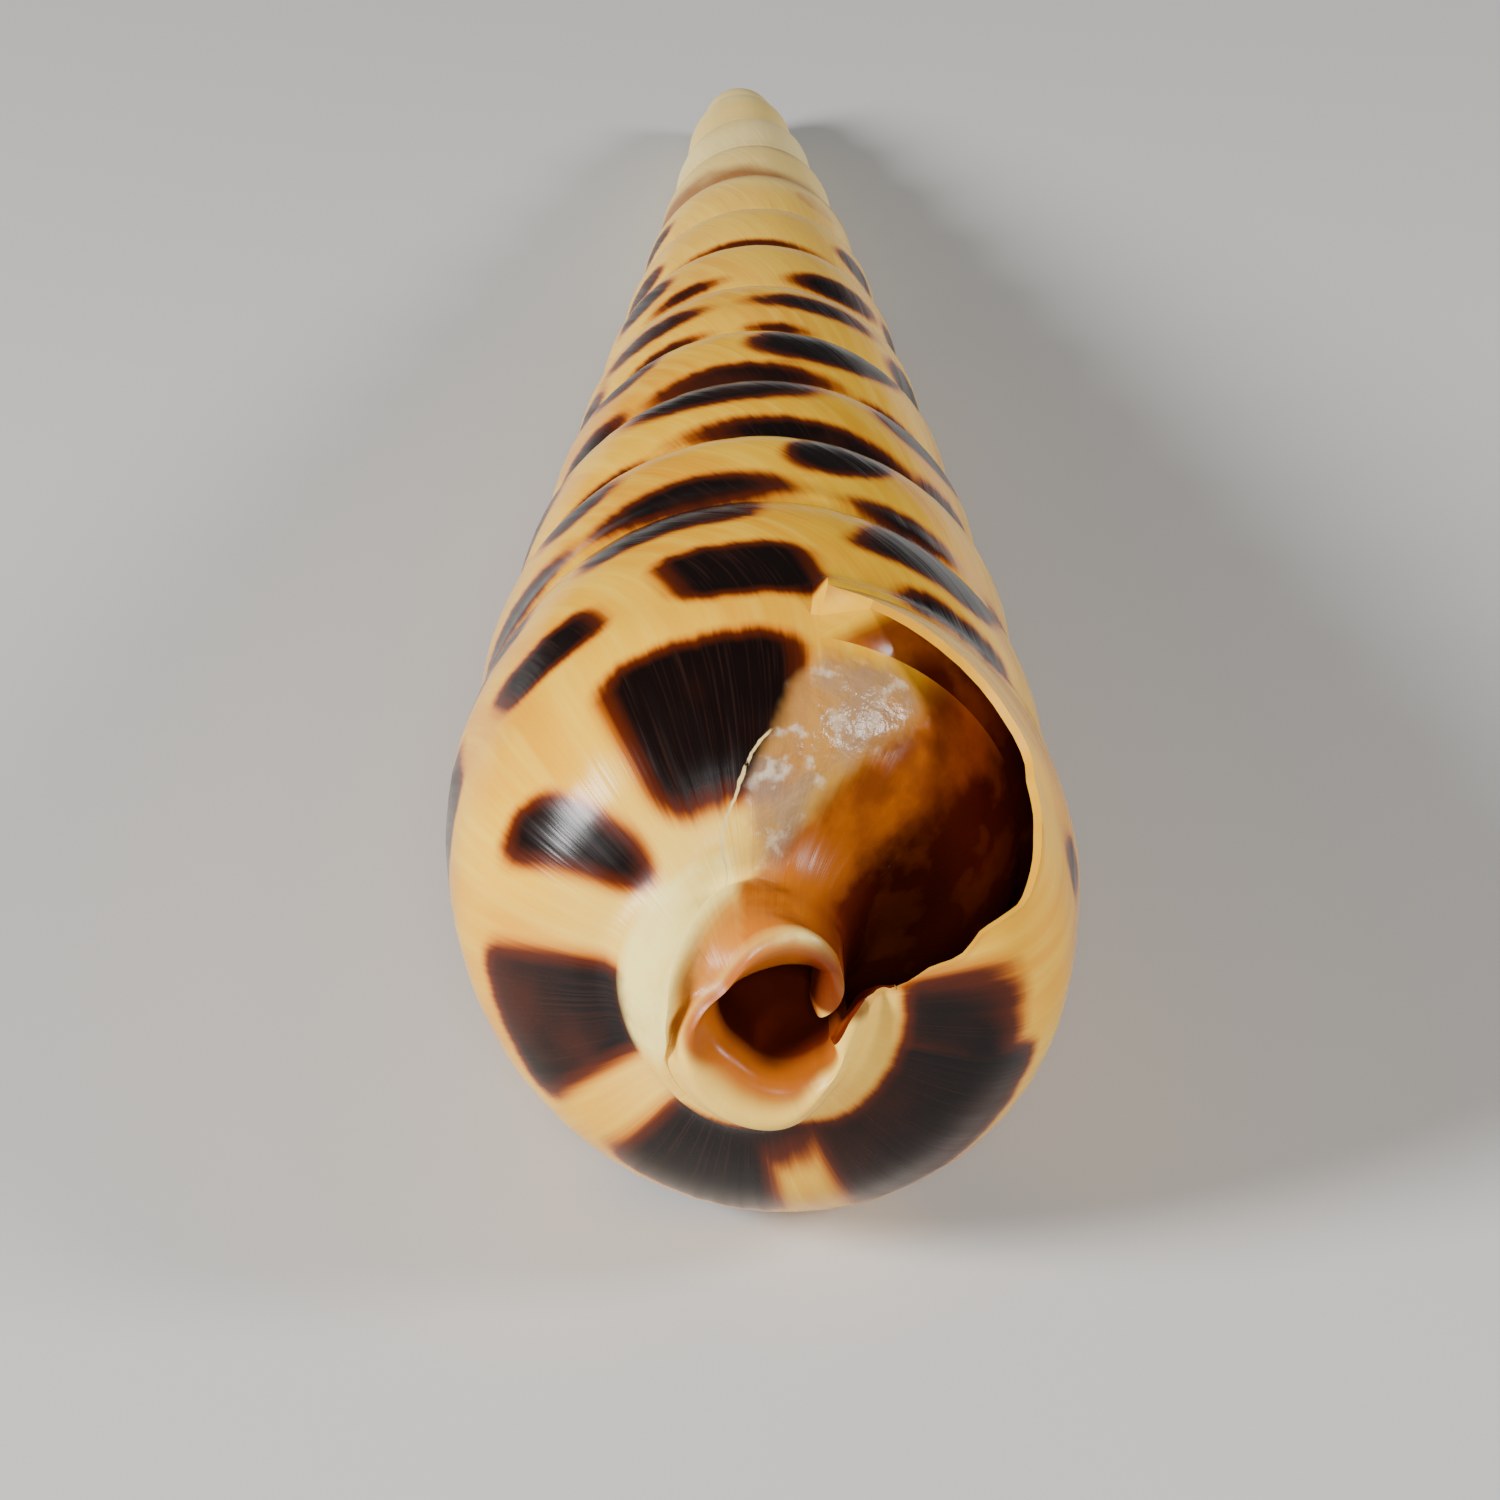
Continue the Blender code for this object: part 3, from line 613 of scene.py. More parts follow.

# the rim of the canal: amber inside, brown deep in it as painted shade, and brown on the scroll at its two
# ends, partly stain and partly painted shade where it curls inwards
amber_from = 0.34 - 0.52 * ramp(rim_turn, 0.36, 0.24) + 0.22 * ramp(rim_turn, 0.52, 0.62)
scroll = ramp(np.abs(rim_turn + 0.02), 0.22, 0.0)
curled = np.maximum(ramp(rim_turn, 0.01, -0.09), ramp(rim_turn, 0.745, 0.775))
rim_amber = ramp(rim_across - amber_from, 0.0, 0.34)
rim_brown_and_shade = ramp(rim_across + 0.34 * scroll, 0.88, 1.18)
# on the scroll the brown darkens inwards, painted shade where it curls under
rim_brown_and_shade = np.maximum(rim_brown_and_shade, curled * (0.70 + 0.26 * ramp(rim_across, 0.0, 0.5)))
amber = np.where(on_rim, rim_amber, amber)
brown_and_shade = np.where(on_rim, np.maximum(rim_brown_and_shade, 0.30 * rim_amber), brown_and_shade)

# the neck under the rim, the fasciole's chalky band, and the lip's thin edge
above_floor = face_row - FLOOR_END
band = on_front & (face_row > FLOOR_END) & (face_row < RIM_EDGE)
under_rim = band * ramp(above_floor, 8.0, 12.0) * ramp(rim_turn, 0.34, 0.26)
amber = np.maximum(amber, 0.85 * under_rim)
lip_edge = on_front & (face_line > COLUMNS - 0.5) & (face_row < RIM_EDGE)
amber = np.where(lip_edge, np.maximum(amber, np.where(face_row < 0.5, 0.12, 0.35)), amber)
fasciole = np.where(band, ramp(above_floor, -3.0, 1.0) * ramp(above_floor, 11.0, 7.0), 0.0)
fasciole = fasciole * ramp(rim_turn, 0.015, 0.045) * ramp(rim_turn, 0.36, 0.31)
# on the rim the chalk is partly worn chalk and partly a painted highlight on the crest at the top of its
# arc; on the fasciole it is the band's own chalky colour
chalk_and_highlight = np.where(on_rim, 0.9 * hump(rim_across, 0.12, 0.13) * hump(rim_turn, -0.025, 0.045), fasciole)
cave = np.where(on_rim, ramp(rim_across, 0.95, 1.20), np.where(lip_edge, 0.6, 0.0))

# the outline of the glaze: turn and drop of its corners
GLAZE = (
    (-0.040, 0.540), (-0.028, 0.590), (-0.018, 0.640), (0.000, 0.690), (0.014, 0.740), (0.008, 0.768),
    (-0.014, 0.782), (-0.040, 0.778), (-0.052, 0.750), (-0.056, 0.712), (-0.078, 0.672), (-0.094, 0.629),
    (-0.116, 0.580), (-0.110, 0.545), (-0.090, 0.522), (-0.064, 0.520))
TURN_LENGTH = 2.2                 # length of a turn there, along the wall
here = np.stack((corner_turn * TURN_LENGTH, corner_drop), axis=-1)


def gap_to(start, end):
    """Distance of each corner from a line drawn on the shell."""
    a = np.array((start[0] * TURN_LENGTH, start[1]))
    b = np.array((end[0] * TURN_LENGTH, end[1]))
    share = np.clip(((here - a) @ (b - a)) / ((b - a) @ (b - a)), 0.0, 1.0)
    return np.linalg.norm(here - a - share[..., None] * (b - a), axis=-1)


glaze = np.full(growth.shape, 1.0)
inside_glaze = np.zeros(growth.shape, bool)
for start, end in zip(GLAZE, GLAZE[1:] + GLAZE[:1]):
    glaze = np.minimum(glaze, gap_to(start, end))
    crosses = (start[1] > corner_drop) != (end[1] > corner_drop)
    with np.errstate(divide="ignore", invalid="ignore"):
        at = start[0] + (corner_drop - start[1]) * (end[0] - start[0]) / (end[1] - start[1])
    inside_glaze ^= crosses & (corner_turn < at)
glaze = np.where(inside_glaze, -glaze, glaze)
glaze = np.where(on_hollow, 1.0, glaze)

# the worn tip with its pinkish band, and the places that marks, streaks and relief leave out
wear = ramp(corner_height, 2.56, 2.84)
worn_suture = 0.6 * hump(corner_drop, 0.02, 0.08) * ramp(corner_height, 3.45, 3.15)
worn_band = np.maximum(hump(corner_height, 2.80, 0.11), worn_suture)
canal_wall = 0.195 + 0.030 * ramp(np.mod(corner_turn, 1.0), 0.52, 0.62)
mark = np.maximum(mark, canal_wall - corner_radius)
mark = np.where(on_hollow | on_pillar, FAR, mark)
outside = np.where(on_hollow | on_pillar | on_rim, 0.0, ramp(corner_height, 3.4, 3.1))

# ---- the sheet ----------------------------------------------------------------------------------
# The wall as a flat sheet of growth lines, carrying for each point its radius, turn and height, and for
# each corner what grew there.
mesh = bpy.data.meshes.new("growth_sheet")
corner_lists = [tuple(dict.fromkeys(f)) for f in faces.tolist()]
mesh.from_pydata((place * WIDTH).tolist(), [], corner_lists)
keep = np.ones(faces.shape, bool)
keep[:, 3] = faces[:, 3] != faces[:, 2]           # a triangle has its last corner twice

# the growth line that each corner lies on, as the turn at which it meets the suture
STREAK_LEAN = 0.13                # how far the lines lean back at the front end, in turns
STREAK_DEPTH = 0.22               # drop over which they come to lean so
laid = corner_turn + STREAK_LEAN * (1.0 - np.exp(-np.maximum(corner_drop, 0.0) / STREAK_DEPTH))


def carry(on_mesh, name, domain, values):
    """Writes an attribute that the node tree or the enamel reads."""
    layer = on_mesh.attributes.new(name, "FLOAT", domain)
    layer.data.foreach_set("value", values.astype(np.float32))


# marks and glaze are carried as nearness, 0 from FAR on
for name, values in (("mark", FAR - mark), ("growth", laid), ("drop", corner_drop), ("amber", amber),
                     ("brown_and_shade", brown_and_shade), ("chalk_and_highlight", chalk_and_highlight), ("glaze", FAR - np.minimum(glaze, FAR)),
                     ("wear", wear), ("outside", outside), ("girth", corner_radius), ("cave", cave),
                     ("band", worn_band), ("rim", np.where(on_rim, 1.0, 0.0))):
    carry(mesh, name, "CORNER", values[keep])
relief = np.where(np.isin(np.concatenate(part_of), (OUTSIDE, FRONT)), 1.0, 0.0)
carry(mesh, "line", "POINT", lines / LINES)
carry(mesh, "relief", "POINT", relief * smooth_step((FLOOR_END + 2 - rows) / 8.0))

welded = bmesh.new()
welded.from_mesh(mesh)
bmesh.ops.delete(welded, geom=[v for v in welded.verts if not v.link_faces], context="VERTS")
bmesh.ops.remove_doubles(welded, verts=welded.verts, dist=1e-7)
bmesh.ops.recalc_face_normals(welded, faces=welded.faces)
open_edges = sum(1 for e in welded.edges if not e.is_manifold)
welded.to_mesh(mesh)
welded.free()
print("shell sheet:", len(mesh.vertices), "points,", len(mesh.polygons), "faces,", open_edges, "open edges")

spots = np.empty(len(mesh.vertices) * 3)
mesh.vertices.foreach_get("co", spots)
spots = spots.reshape(-1, 3) / WIDTH
turns_round = np.arctan2(-spots[:, 0], spots[:, 2]) / (2.0 * math.pi)
carry(mesh, "radius", "POINT", np.hypot(spots[:, 0], spots[:, 2]))
carry(mesh, "turn", "POINT", turns_round)
carry(mesh, "height", "POINT", spots[:, 1])
flat = np.stack((turns_round, spots[:, 1], 0.0 * turns_round), axis=1) * WIDTH
mesh.vertices.foreach_set("co", flat.ravel())

# ---- the shell's enamel -------------------------------------------------------------------------
# Glossy cream enamel with fine growth lines, near-black marks that fade through red-brown and orange at
# their edges, painted shade in the sutures, amber to deep brown inside that is partly stain and partly
# painted glow and shade, and a worn, chalky tip and canal rim with a painted highlight on the rim's crest.
CREAM = ((0.80, 0.345, 0.003), (0.90, 0.470, 0.010))          # broad bands, darker and lighter
PALE_LINES = (0.95, 0.64, 0.060)
TAN_LINES = (0.70, 0.27, 0.008)
NECK_CREAM = (0.95, 0.68, 0.170)
# painted shade: the tan of the thin dark line just below each suture
SUTURE_SHADE = (0.34, 0.130, 0.020)
MARK_CORE = ((0.0060, 0.0030, 0.0026), (0.030, 0.011, 0.007))     # near black, and its paler lines
MARK_CLOUD = (0.050, 0.010, 0.004)
MARK_ORANGE = (0.50, 0.13, 0.008)
MARK_RED_BROWN = (0.095, 0.014, 0.003)
# amber inside is partly stain and partly painted glow; brown inside is partly stain and partly painted shade
AMBER = ((0.50, 0.112, 0.001), (0.31, 0.055, 0.001))
BROWN_AND_SHADE = ((0.140, 0.016, 0.003), (0.065, 0.008, 0.002))
# chalk white: partly worn chalk and partly a painted highlight on the rim's crest
CHALK_AND_HIGHLIGHT = (0.98, 0.80, 0.25)
GLAZE_GREY = ((0.52, 0.24, 0.060), (0.37, 0.22, 0.125))
GLAZE_PALE = (0.80, 0.66, 0.48)
FLAKE_PALE = (0.74, 0.56, 0.24)
BARE = ((0.90, 0.64, 0.20), (0.94, 0.75, 0.32))
BARE_PINK = (0.30, 0.115, 0.045)
FLAKE_SLANT = 0.60                # turns that the flaked line leans back for each unit of drop
FLAKE_START = 0.2834              # turn before 0 at which it would meet the suture


def arithmetic(tree):
    """Functions that add math nodes to a tree: they take sockets or numbers and give the result's socket."""
    def math_node(operation, *values):
        node = tree.nodes.new("ShaderNodeMath")
        node.operation = operation
        for socket, value in zip(node.inputs, values):
            if isinstance(value, (int, float)):
                socket.default_value = value
            else:
                tree.links.new(value, socket)
        return node.outputs[0]

    def plus(a, b):
        return math_node("ADD", a, b)

    def minus(a, b):
        return math_node("SUBTRACT", a, b)

    def times(a, b):
        return math_node("MULTIPLY", a, b)

    return math_node, plus, minus, times


def make_enamel():
    material = bpy.data.materials.new("glossy shell")
    material.use_nodes = True
    nodes, links = material.node_tree.nodes, material.node_tree.links
    shader = nodes["Principled BSDF"]
    math_node, plus, minus, times = arithmetic(material.node_tree)

    def carried(name):
        node = nodes.new("ShaderNodeAttribute")
        node.attribute_name = name
        return node.outputs["Fac"]

    def spread(value, low, high, start=0.0, end=1.0):
        """Goes smoothly from start to end while the value goes from low to high."""
        node = nodes.new("ShaderNodeMapRange")
        node.interpolation_type = "SMOOTHSTEP"
        links.new(value, node.inputs["Value"])
        for name, number in (("From Min", low), ("From Max", high), ("To Min", start), ("To Max", end)):
            node.inputs[name].default_value = number
        return node.outputs["Result"]

    def blend(amount, under, over):
        node = nodes.new("ShaderNodeMix")
        node.data_type = "RGBA"
        links.new(amount, node.inputs["Factor"])
        for socket, colour in ((node.inputs[6], under), (node.inputs[7], over)):
            if isinstance(colour, tuple):
                socket.default_value = (*colour, 1.0)
            else:
                links.new(colour, socket)
        return node.outputs[2]

    growth, drop, girth = carried("growth"), carried("drop"), carried("girth")
    outside, cave = carried("outside"), carried("cave")

    def streaks(lines, length, detail=2.0):
        """Noise drawn out along the growth lines; lines in one turn, and runs to one shell width."""
        vector = nodes.new("ShaderNodeCombineXYZ")
        links.new(times(growth, lines), vector.inputs[0])
        links.new(times(drop, length), vector.inputs[1])
        noise = nodes.new("ShaderNodeTexNoise")
        noise.noise_dimensions = "2D"
        noise.inputs["Scale"].default_value = 1.0
        noise.inputs["Detail"].default_value = detail
        links.new(vector.outputs["Vector"], noise.inputs["Vector"])
        return noise.outputs["Fac"]

    def grain(scale, detail=3.0):
        where = nodes.new("ShaderNodeTexCoord")
        noise = nodes.new("ShaderNodeTexNoise")
        noise.inputs["Scale"].default_value = scale
        noise.inputs["Detail"].default_value = detail
        links.new(where.outputs["Object"], noise.inputs["Vector"])
        return noise.outputs["Fac"]

    def wavering(value, noise, width):
        """The value, moved up and down by noise over this width."""
        return plus(value, times(minus(noise, 0.5), width))

    fine = streaks(420.0, 5.0)
    middle = streaks(90.0, 3.0)
    broad = streaks(13.0, 2.2)
    cloud = grain(160.0)

    # cream enamel, paler towards the canal, with painted shade as a tan line in the suture
    cream = blend(spread(broad, 0.32, 0.62), *CREAM)
    cream = blend(spread(middle, 0.40, 0.80, 0.0, 0.40), cream, PALE_LINES)
    cream = blend(spread(fine, 0.5, 0.8, 0.0, 0.12), cream, TAN_LINES)
    cream = blend(spread(girth, 0.16, 0.40, 0.50, 0.0), cream, NECK_CREAM)
    # painted shade in the crease just below each suture, on the outside
    painted_suture_shade = times(spread(drop, 0.003, 0.022, 0.60, 0.0), outside)
    cream = blend(painted_suture_shade, cream, SUTURE_SHADE)

    # marks: depth is positive inside a mark, and its edge is ragged along the growth lines
    ragged = times(minus(fine, 0.5), 0.014)
    ragged = wavering(ragged, middle, 0.034)
    depth = plus(minus(carried("mark"), FAR), times(ragged, girth))
    depth = math_node("DIVIDE", depth, plus(times(girth, 1.1), 0.45))
    core = blend(spread(fine, 0.50, 0.80, 0.0, 0.6), *MARK_CORE)
    core = blend(spread(grain(110.0), 0.46, 0.66, 0.0, 0.75), core, MARK_CLOUD)
    colour = blend(spread(depth, -0.020, 0.006), cream, MARK_ORANGE)
    colour = blend(spread(depth, -0.006, 0.012), colour, MARK_RED_BROWN)
    colour = blend(spread(depth, 0.002, 0.034), colour, core)

    # amber and brown inside, partly stains and partly painted glow and painted shade, with specks of brown
    # off the rim, and chalk on the rim, partly a painted highlight
    amber = blend(spread(cloud, 0.3, 0.7), *AMBER)
    brown_and_shade = blend(spread(cloud, 0.3, 0.7), *BROWN_AND_SHADE)
    colour = blend(times(carried("amber"), 0.94), colour, amber)
    specks = times(spread(grain(330.0, 5.0), 0.42, 0.66, -0.12, 0.55), carried("amber"))
    stain = plus(carried("brown_and_shade"), times(specks, minus(1.0, carried("rim"))))
    colour = blend(math_node("MINIMUM", math_node("MAXIMUM", stain, 0.0), 1.0), colour, brown_and_shade)
    chalky_and_highlight = times(carried("chalk_and_highlight"), spread(grain(900.0), 0.25, 0.60, 0.55, 0.95))
    colour = blend(chalky_and_highlight, colour, CHALK_AND_HIGHLIGHT)

    # the glaze
    glaze = spread(wavering(minus(carried("glaze"), FAR), grain(420.0), 0.06), -0.014, 0.026)
    pale = blend(spread(grain(350.0, 5.0), 0.40, 0.60), *GLAZE_GREY)
    pale = blend(spread(grain(1100.0, 6.0), 0.54, 0.70, 0.0, 0.8), pale, GLAZE_PALE)
    colour = blend(times(glaze, 0.88), colour, pale)

    # a fine flaked line runs down across the last whorl beside the glaze
    flaked = plus(minus(growth, times(drop, FLAKE_SLANT)), FLAKE_START)
    flaked = wavering(flaked, grain(700.0), 0.016)
    flaked = spread(math_node("ABSOLUTE", flaked), 0.0010, 0.0020, 1.0, 0.0)
    flaked = times(flaked, spread(grain(1300.0), 0.38, 0.46))
    flaked = times(flaked, spread(drop, 0.655, 0.665))
    flaked = times(flaked, spread(drop, 0.765, 0.775, 1.0, 0.0))
    colour = blend(times(flaked, outside), colour, FLAKE_PALE)

    # the worn tip
    bare = blend(spread(cloud, 0.35, 0.65), *BARE)
    pinkish = plus(carried("band"), times(grain(260.0), 0.9))
    bare = blend(spread(pinkish, 0.70, 1.40), bare, BARE_PINK)
    colour = blend(times(carried("wear"), 0.92), colour, bare)
    links.new(colour, shader.inputs["Base Color"])

    # gloss, broken up along the growth lines, duller on the canal, the tip and deep inside
    rough = spread(middle, 0.3, 0.8, 0.13, 0.24)
    rough = plus(rough, spread(girth, 0.12, 0.50, 0.16, 0.0))
    rough = plus(rough, times(carried("wear"), 0.1))
    rough = plus(rough, times(carried("chalk_and_highlight"), 0.05))
    rough = plus(rough, times(cave, 0.4))
    links.new(rough, shader.inputs["Roughness"])
    shader.inputs["IOR"].default_value = 1.32
    links.new(times(minus(1.0, cave), 0.5), shader.inputs["Specular IOR Level"])

    # fine ridges along the growth lines, and lumps in the glaze
    ridges = times(plus(times(fine, 0.12), times(middle, 0.42)), outside)
    lumps = times(times(grain(900.0, 4.0), 3.0), glaze)
    bump = nodes.new("ShaderNodeBump")
    bump.inputs["Strength"].default_value = 0.45
    bump.inputs["Distance"].default_value = 0.00012
    links.new(plus(ridges, lumps), bump.inputs["Height"])
    links.new(bump.outputs["Normal"], shader.inputs["Normal"])
    return material


enamel = make_enamel()
mesh.materials.append(enamel)

# ---- winding the sheet --------------------------------------------------------------------------
# A node tree rolls the flat sheet round the axis, with the low relief of the growth lines, and bends the
# worn tip a little to the left.
WINDING = {
    "Width": WIDTH,
    "Tip Shift": 0.036,           # how far the worn tip has grown to the left of the axis
    "Shift Start": 2.2,           # height from which it does so
    "Tip Height": TIP_HEIGHT,
    "Growth Relief": 0.010,       # height of the relief, as a share of the radius
    "Lines Per Turn": 34.0,       # coarse growth lines in one turn
    "Material": enamel,
}


def make_winding():
    tree = bpy.data.node_groups.new("winding", "GeometryNodeTree")
    face = tree.interface
    face.new_socket("Geometry", in_out="INPUT", socket_type="NodeSocketGeometry")
    for label in WINDING:
        kind = "NodeSocketMaterial" if label == "Material" else "NodeSocketFloat"
        face.new_socket(label, in_out="INPUT", socket_type=kind)
    face.new_socket("Geometry", in_out="OUTPUT", socket_type="NodeSocketGeometry")
    nodes, links = tree.nodes, tree.links
    entry = nodes.new("NodeGroupInput").outputs
    math_node, plus, minus, times = arithmetic(tree)

    def carried(name):
        node = nodes.new("GeometryNodeInputNamedAttribute")
        node.data_type = "FLOAT"
        node.inputs["Name"].default_value = name
        return node.outputs["Attribute"]

    height = carried("height")
    angle = times(carried("turn"), 2.0 * math.pi)
    noise = nodes.new("ShaderNodeTexNoise")
    noise.noise_dimensions = "1D"
    noise.inputs["Detail"].default_value = 3.0
    noise.inputs["Roughness"].default_value = 0.65
    noise.inputs["Scale"].default_value = 1.0
    links.new(times(carried("line"), entry["Lines Per Turn"]), noise.inputs["W"])
    ripple = times(times(minus(noise.outputs["Fac"], 0.5), entry["Growth Relief"]), carried("relief"))
    radius = times(carried("radius"), plus(ripple, 1.0))
    above = math_node("MAXIMUM", minus(height, entry["Shift Start"]), 0.0)
    share = math_node("DIVIDE", above, minus(entry["Tip Height"], entry["Shift Start"]))
    shift = times(math_node("POWER", share, 2.0), entry["Tip Shift"])
    side_way = minus(times(times(radius, -1.0), math_node("SINE", angle)), shift)
    up = times(radius, math_node("COSINE", angle))
    point = nodes.new("ShaderNodeCombineXYZ")
    for socket, value in zip(point.inputs, (side_way, height, up)):
        links.new(times(value, entry["Width"]), socket)
    wound = nodes.new("GeometryNodeSetPosition")
    links.new(entry["Geometry"], wound.inputs["Geometry"])
    links.new(point.outputs["Vector"], wound.inputs["Position"])
    real = nodes.new("GeometryNodeRealizeInstances")
    links.new(wound.outputs["Geometry"], real.inputs["Geometry"])
    painted = nodes.new("GeometryNodeSetMaterial")
    links.new(real.outputs["Geometry"], painted.inputs["Geometry"])
    links.new(entry["Material"], painted.inputs["Material"])
    leave = nodes.new("NodeGroupOutput")
    links.new(painted.outputs["Geometry"], leave.inputs["Geometry"])
    return tree


sheet = bpy.data.objects.new("sheet", mesh)
bpy.context.scene.collection.objects.link(sheet)
roll = sheet.modifiers.new("winding", "NODES")
roll.node_group = make_winding()
for socket in roll.node_group.interface.items_tree:
    if socket.in_out == "INPUT" and socket.name in WINDING:
        roll[socket.identifier] = WINDING[socket.name]

# ---- the gap beside the scroll ------------------------------------------------------------------
# Between the columella's scroll and the lip's ribbon the canal is open to the mouth.  The gap is cut
# through the wound wall along the axis, and its sides are brown, partly stain and partly painted shade.
GAP = (
    (0.070, -0.026), (0.100, -0.009), (0.121, 0.012), (0.132, 0.036), (0.135, 0.060), (0.127, 0.092),
    (0.116, 0.130), (0.160, 0.140), (0.215, 0.105), (0.222, 0.046), (0.186, 0.038), (0.161, 0.026),
    (0.146, 0.004), (0.132, -0.024), (0.112, -0.050), (0.088, -0.052))
GAP_FRONT = -0.75                 # heights between which it is cut
GAP_BACK = -0.43
GAP_TAPER = 0.96                  # its width at the back, drawn in towards the scroll
GAP_MIDDLE = 0.10
gap_knots = np.arange(len(GAP) + 3, dtype=float)
gap_loop = np.array(GAP[-1:] + GAP + GAP[:2])[None]
gap_line = through_rows(gap_loop, gap_knots, (4,) * (len(GAP) + 2))[0, 4:-8]
prism = bmesh.new()
front = [prism.verts.new((x * WIDTH, GAP_FRONT * WIDTH, z * WIDTH)) for x, z in gap_line]
back = []
for x, z in gap_line:
    x = GAP_MIDDLE + GAP_TAPER * (x - GAP_MIDDLE)
    back.append(prism.verts.new((x * WIDTH, GAP_BACK * WIDTH, z * WIDTH)))
prism.faces.new(front)
prism.faces.new(back[::-1])
for k in range(len(front)):
    after_k = (k + 1) % len(front)
    prism.faces.new((front[after_k], front[k], back[k], back[after_k]))
bmesh.ops.recalc_face_normals(prism, faces=prism.faces)
gap_mesh = bpy.data.meshes.new("gap")
prism.to_mesh(gap_mesh)
prism.free()
# painted shade: the gap's sides are brown and dull
for name, value in (("brown_and_shade", 0.95), ("amber", 1.0), ("cave", 1.0)):
    carry(gap_mesh, name, "CORNER", np.full(len(gap_mesh.loops), value))
gap_mesh.materials.append(enamel)
gap = bpy.data.objects.new("gap", gap_mesh)
bpy.context.scene.collection.objects.link(gap)
cut = sheet.modifiers.new("gap", "BOOLEAN")
cut.operation = "DIFFERENCE"
cut.solver = "EXACT"
cut.object = gap

# ---- laid on the table --------------------------------------------------------------------------
# The finished shell is one natural piece.  It lies on its side with its mouth up and its axis dipping
# towards the apex, on a small worn flat.
LIE_PLACE = (-0.000179, -0.03981, 0.01256)        # metres
LIE_DIP = math.radians(-6.33)
LIE_ROLL = math.radians(1.26)
SHARP = math.radians(42.0)                        # edges sharper than this stay crisp
bpy.context.view_layer.update()
wound = sheet.evaluated_get(bpy.context.evaluated_depsgraph_get())
shell_mesh = bpy.data.meshes.new_from_object(wound)
shell_mesh.name = "auger_shell"
bpy.data.objects.remove(sheet)
bpy.data.objects.remove(gap)

LAY_DOWN = (Matrix.Translation(LIE_PLACE) @ Matrix.Rotation(LIE_DIP, 4, "X")
            @ Matrix.Rotation(LIE_ROLL, 4, "Y"))
shell_mesh.transform(LAY_DOWN)
for vertex in shell_mesh.vertices:
    vertex.co.z = max(vertex.co.z, 0.0)
shell_mesh.shade_smooth()
shell_mesh.set_sharp_from_angle(angle=SHARP)
shell_mesh.update()
shell = bpy.data.objects.new("auger_shell", shell_mesh)
bpy.context.scene.collection.objects.link(shell)
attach(shell, "root")
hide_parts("shell")
triangle_count = sum(len(p.vertices) - 2 for p in shell_mesh.polygons)
print("auger shell:", len(shell_mesh.vertices), "points,", triangle_count, "triangles")

# ---- floor and studio light ---------------------------------------------------------------------
# A plain pale table, lit by a large soft lamp high on the left, a weaker one on the right and a faint one
# in front.
TABLE_HALF = 3.0
TABLE_GREY = (0.58, 0.57, 0.55, 1.0)
SKY = (0.90, 0.92, 0.95, 1.0)
SKY_STRENGTH = 0.05
table_corners = [(x * TABLE_HALF, y * TABLE_HALF, 0.0) for x, y in ((-1, -1), (1, -1), (1, 1), (-1, 1))]
floor_mesh = bpy.data.meshes.new("table_top")
floor_mesh.from_pydata(table_corners, [], [(0, 1, 2, 3)])
table_top = bpy.data.objects.new("table_top", floor_mesh)
bpy.context.scene.collection.objects.link(table_top)
paint = bpy.data.materials.new("table paint")
paint.use_nodes = True
paint.node_tree.nodes["Principled BSDF"].inputs["Base Color"].default_value = TABLE_GREY
paint.node_tree.nodes["Principled BSDF"].inputs["Roughness"].default_value = 0.7
floor_mesh.materials.append(paint)


def soft_lamp(name, place, aim, size, power):
    """A round lamp, with place, aim and size in metres and power in watts."""
    lamp = bpy.data.lights.new(name, "AREA")
    lamp.shape = "DISK"
    lamp.size = size
    lamp.energy = power
    holder = bpy.data.objects.new(name, lamp)
    holder.location = place
    holder.rotation_mode = "QUATERNION"
    holder.rotation_quaternion = (Vector(aim) - Vector(place)).to_track_quat("-Z", "Y")
    bpy.context.scene.collection.objects.link(holder)


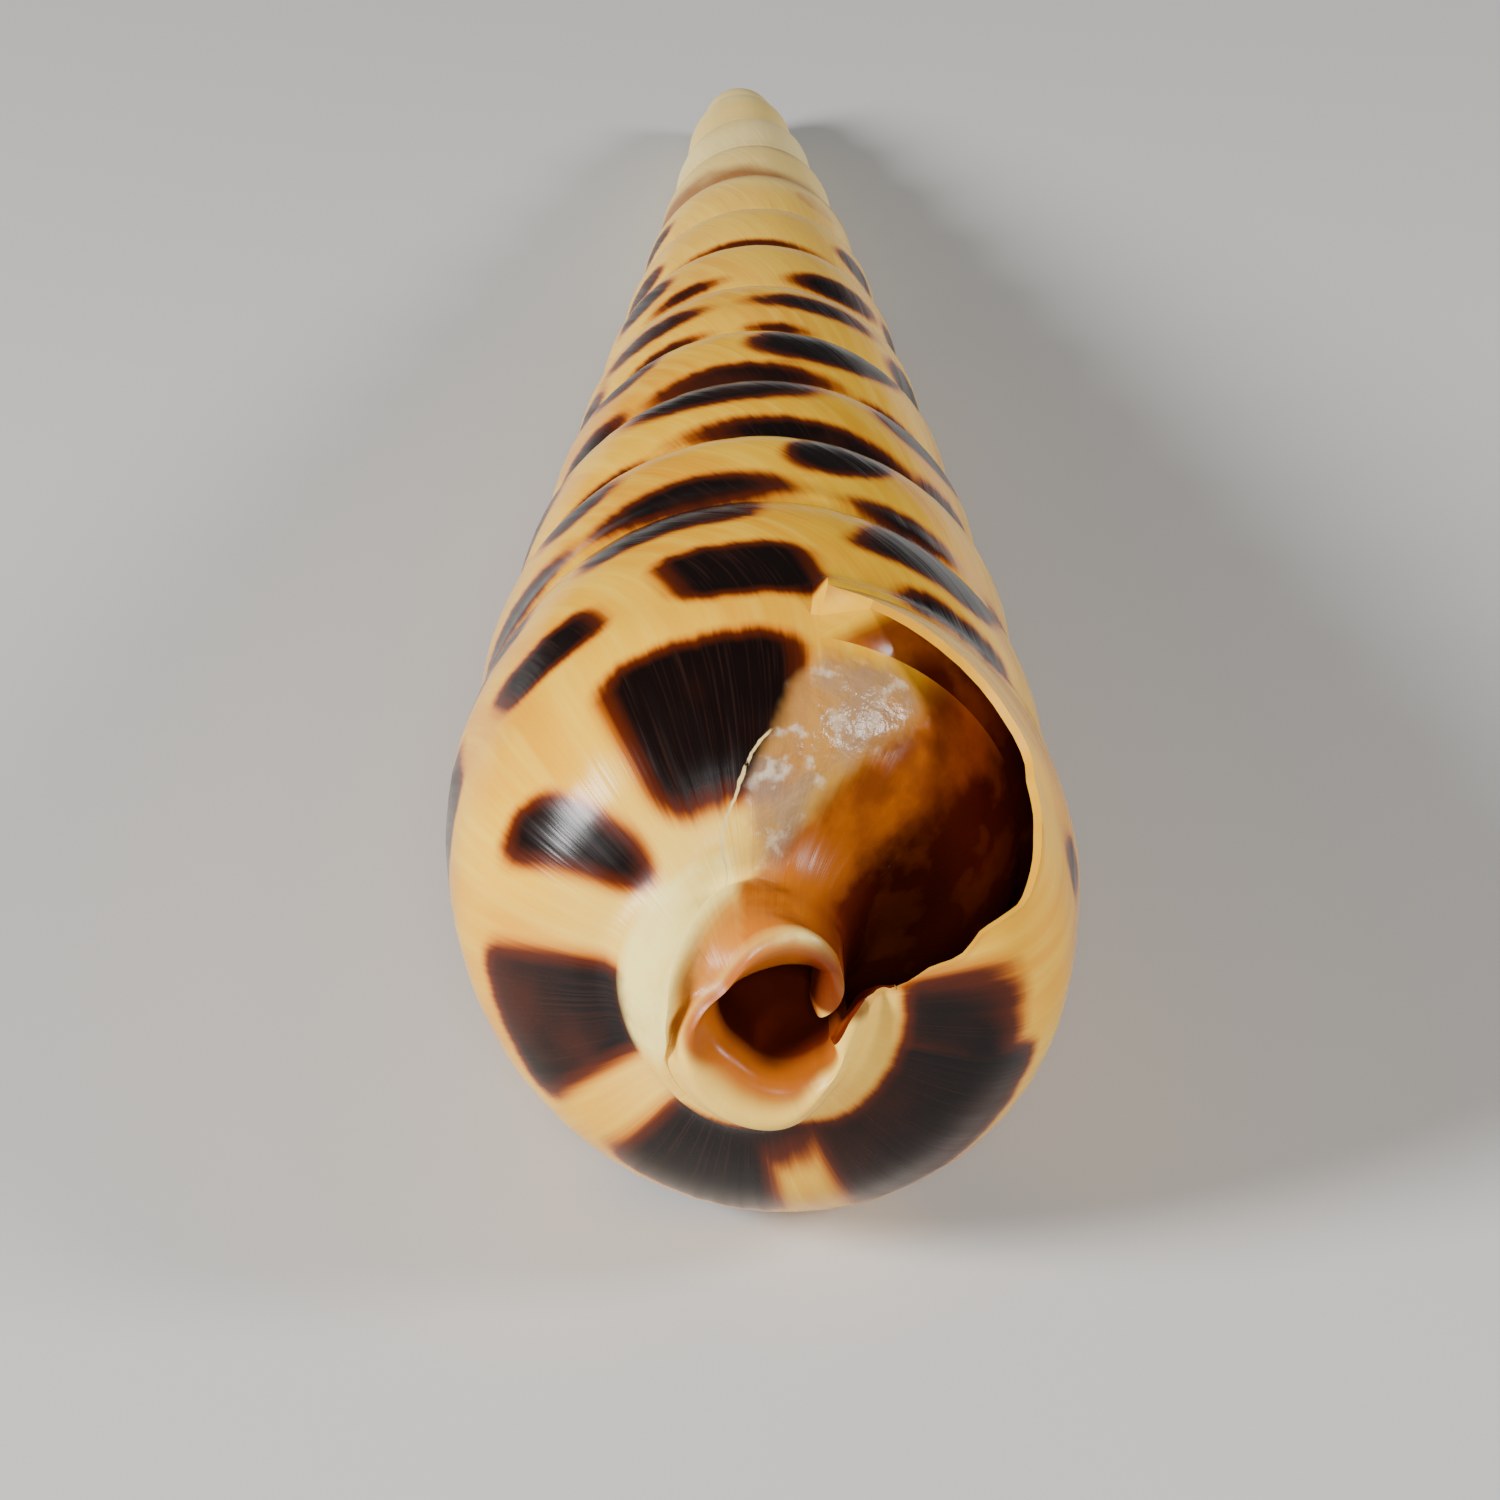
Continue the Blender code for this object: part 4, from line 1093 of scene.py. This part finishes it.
soft_lamp("left_lamp", (-0.38, -0.21, 0.24), (0.0, -0.03, 0.01), 0.17, 4.3)
soft_lamp("right_lamp", (0.36, -0.10, 0.22), (0.0, -0.03, 0.01), 0.11, 1.3)
soft_lamp("front_lamp", (0.02, -0.42, 0.26), (0.0, -0.04, 0.01), 0.10, 0.72)
world = bpy.data.worlds.new("studio")
bpy.context.scene.world = world
world.use_nodes = True
world.node_tree.nodes["Background"].inputs["Color"].default_value = SKY
world.node_tree.nodes["Background"].inputs["Strength"].default_value = SKY_STRENGTH

# ---- camera -------------------------------------------------------------------------------------
# It looks down on the mouth from the front end, 26 degrees above the shell's own axis.
DISTANCE = 8.0                    # from the middle of the last whorl, the shell's origin, in shares of WIDTH
ELEVATION = math.radians(26.2)
AZIMUTH = math.radians(-0.3)
ROLL = math.radians(0.7)
SENSOR = 36.0                     # millimetres
LENS = 120.192
ORIGIN_RIGHT = 0.0009984          # how far the origin stands to the right of the view's middle, and above
ORIGIN_UP = -0.019968             # it, as shares of the distance
stand = DISTANCE * Vector((math.sin(AZIMUTH) * math.cos(ELEVATION),
                           -math.cos(AZIMUTH) * math.cos(ELEVATION), math.sin(ELEVATION)))
ahead_way = -stand.normalized()
right_way = ahead_way.cross(Vector((0.0, 0.0, 1.0))).normalized()
up_way = right_way.cross(ahead_way)
tilt = math.atan(ORIGIN_UP)
pan = math.atan2(ORIGIN_RIGHT, math.hypot(1.0, ORIGIN_UP))
level_way = ahead_way * math.cos(tilt) - up_way * math.sin(tilt)
raised_way = ahead_way * math.sin(tilt) + up_way * math.cos(tilt)
looking = level_way * math.cos(pan) - right_way * math.sin(pan)
beside = level_way * math.sin(pan) + right_way * math.cos(pan)
frame_up = raised_way * math.cos(ROLL) - beside * math.sin(ROLL)
frame_right = beside * math.cos(ROLL) + raised_way * math.sin(ROLL)
pose = Matrix.Identity(4)
for k in range(3):
    pose[k][:] = (frame_right[k], frame_up[k], -looking[k], stand[k] * WIDTH)
camera = bpy.data.objects.new("camera", bpy.data.cameras.new("camera"))
camera.data.sensor_width = SENSOR
camera.data.lens = LENS
camera.data.clip_start = 0.005
camera.data.clip_end = 20.0
camera.matrix_world = LAY_DOWN @ pose
bpy.context.scene.collection.objects.link(camera)
bpy.context.scene.camera = camera
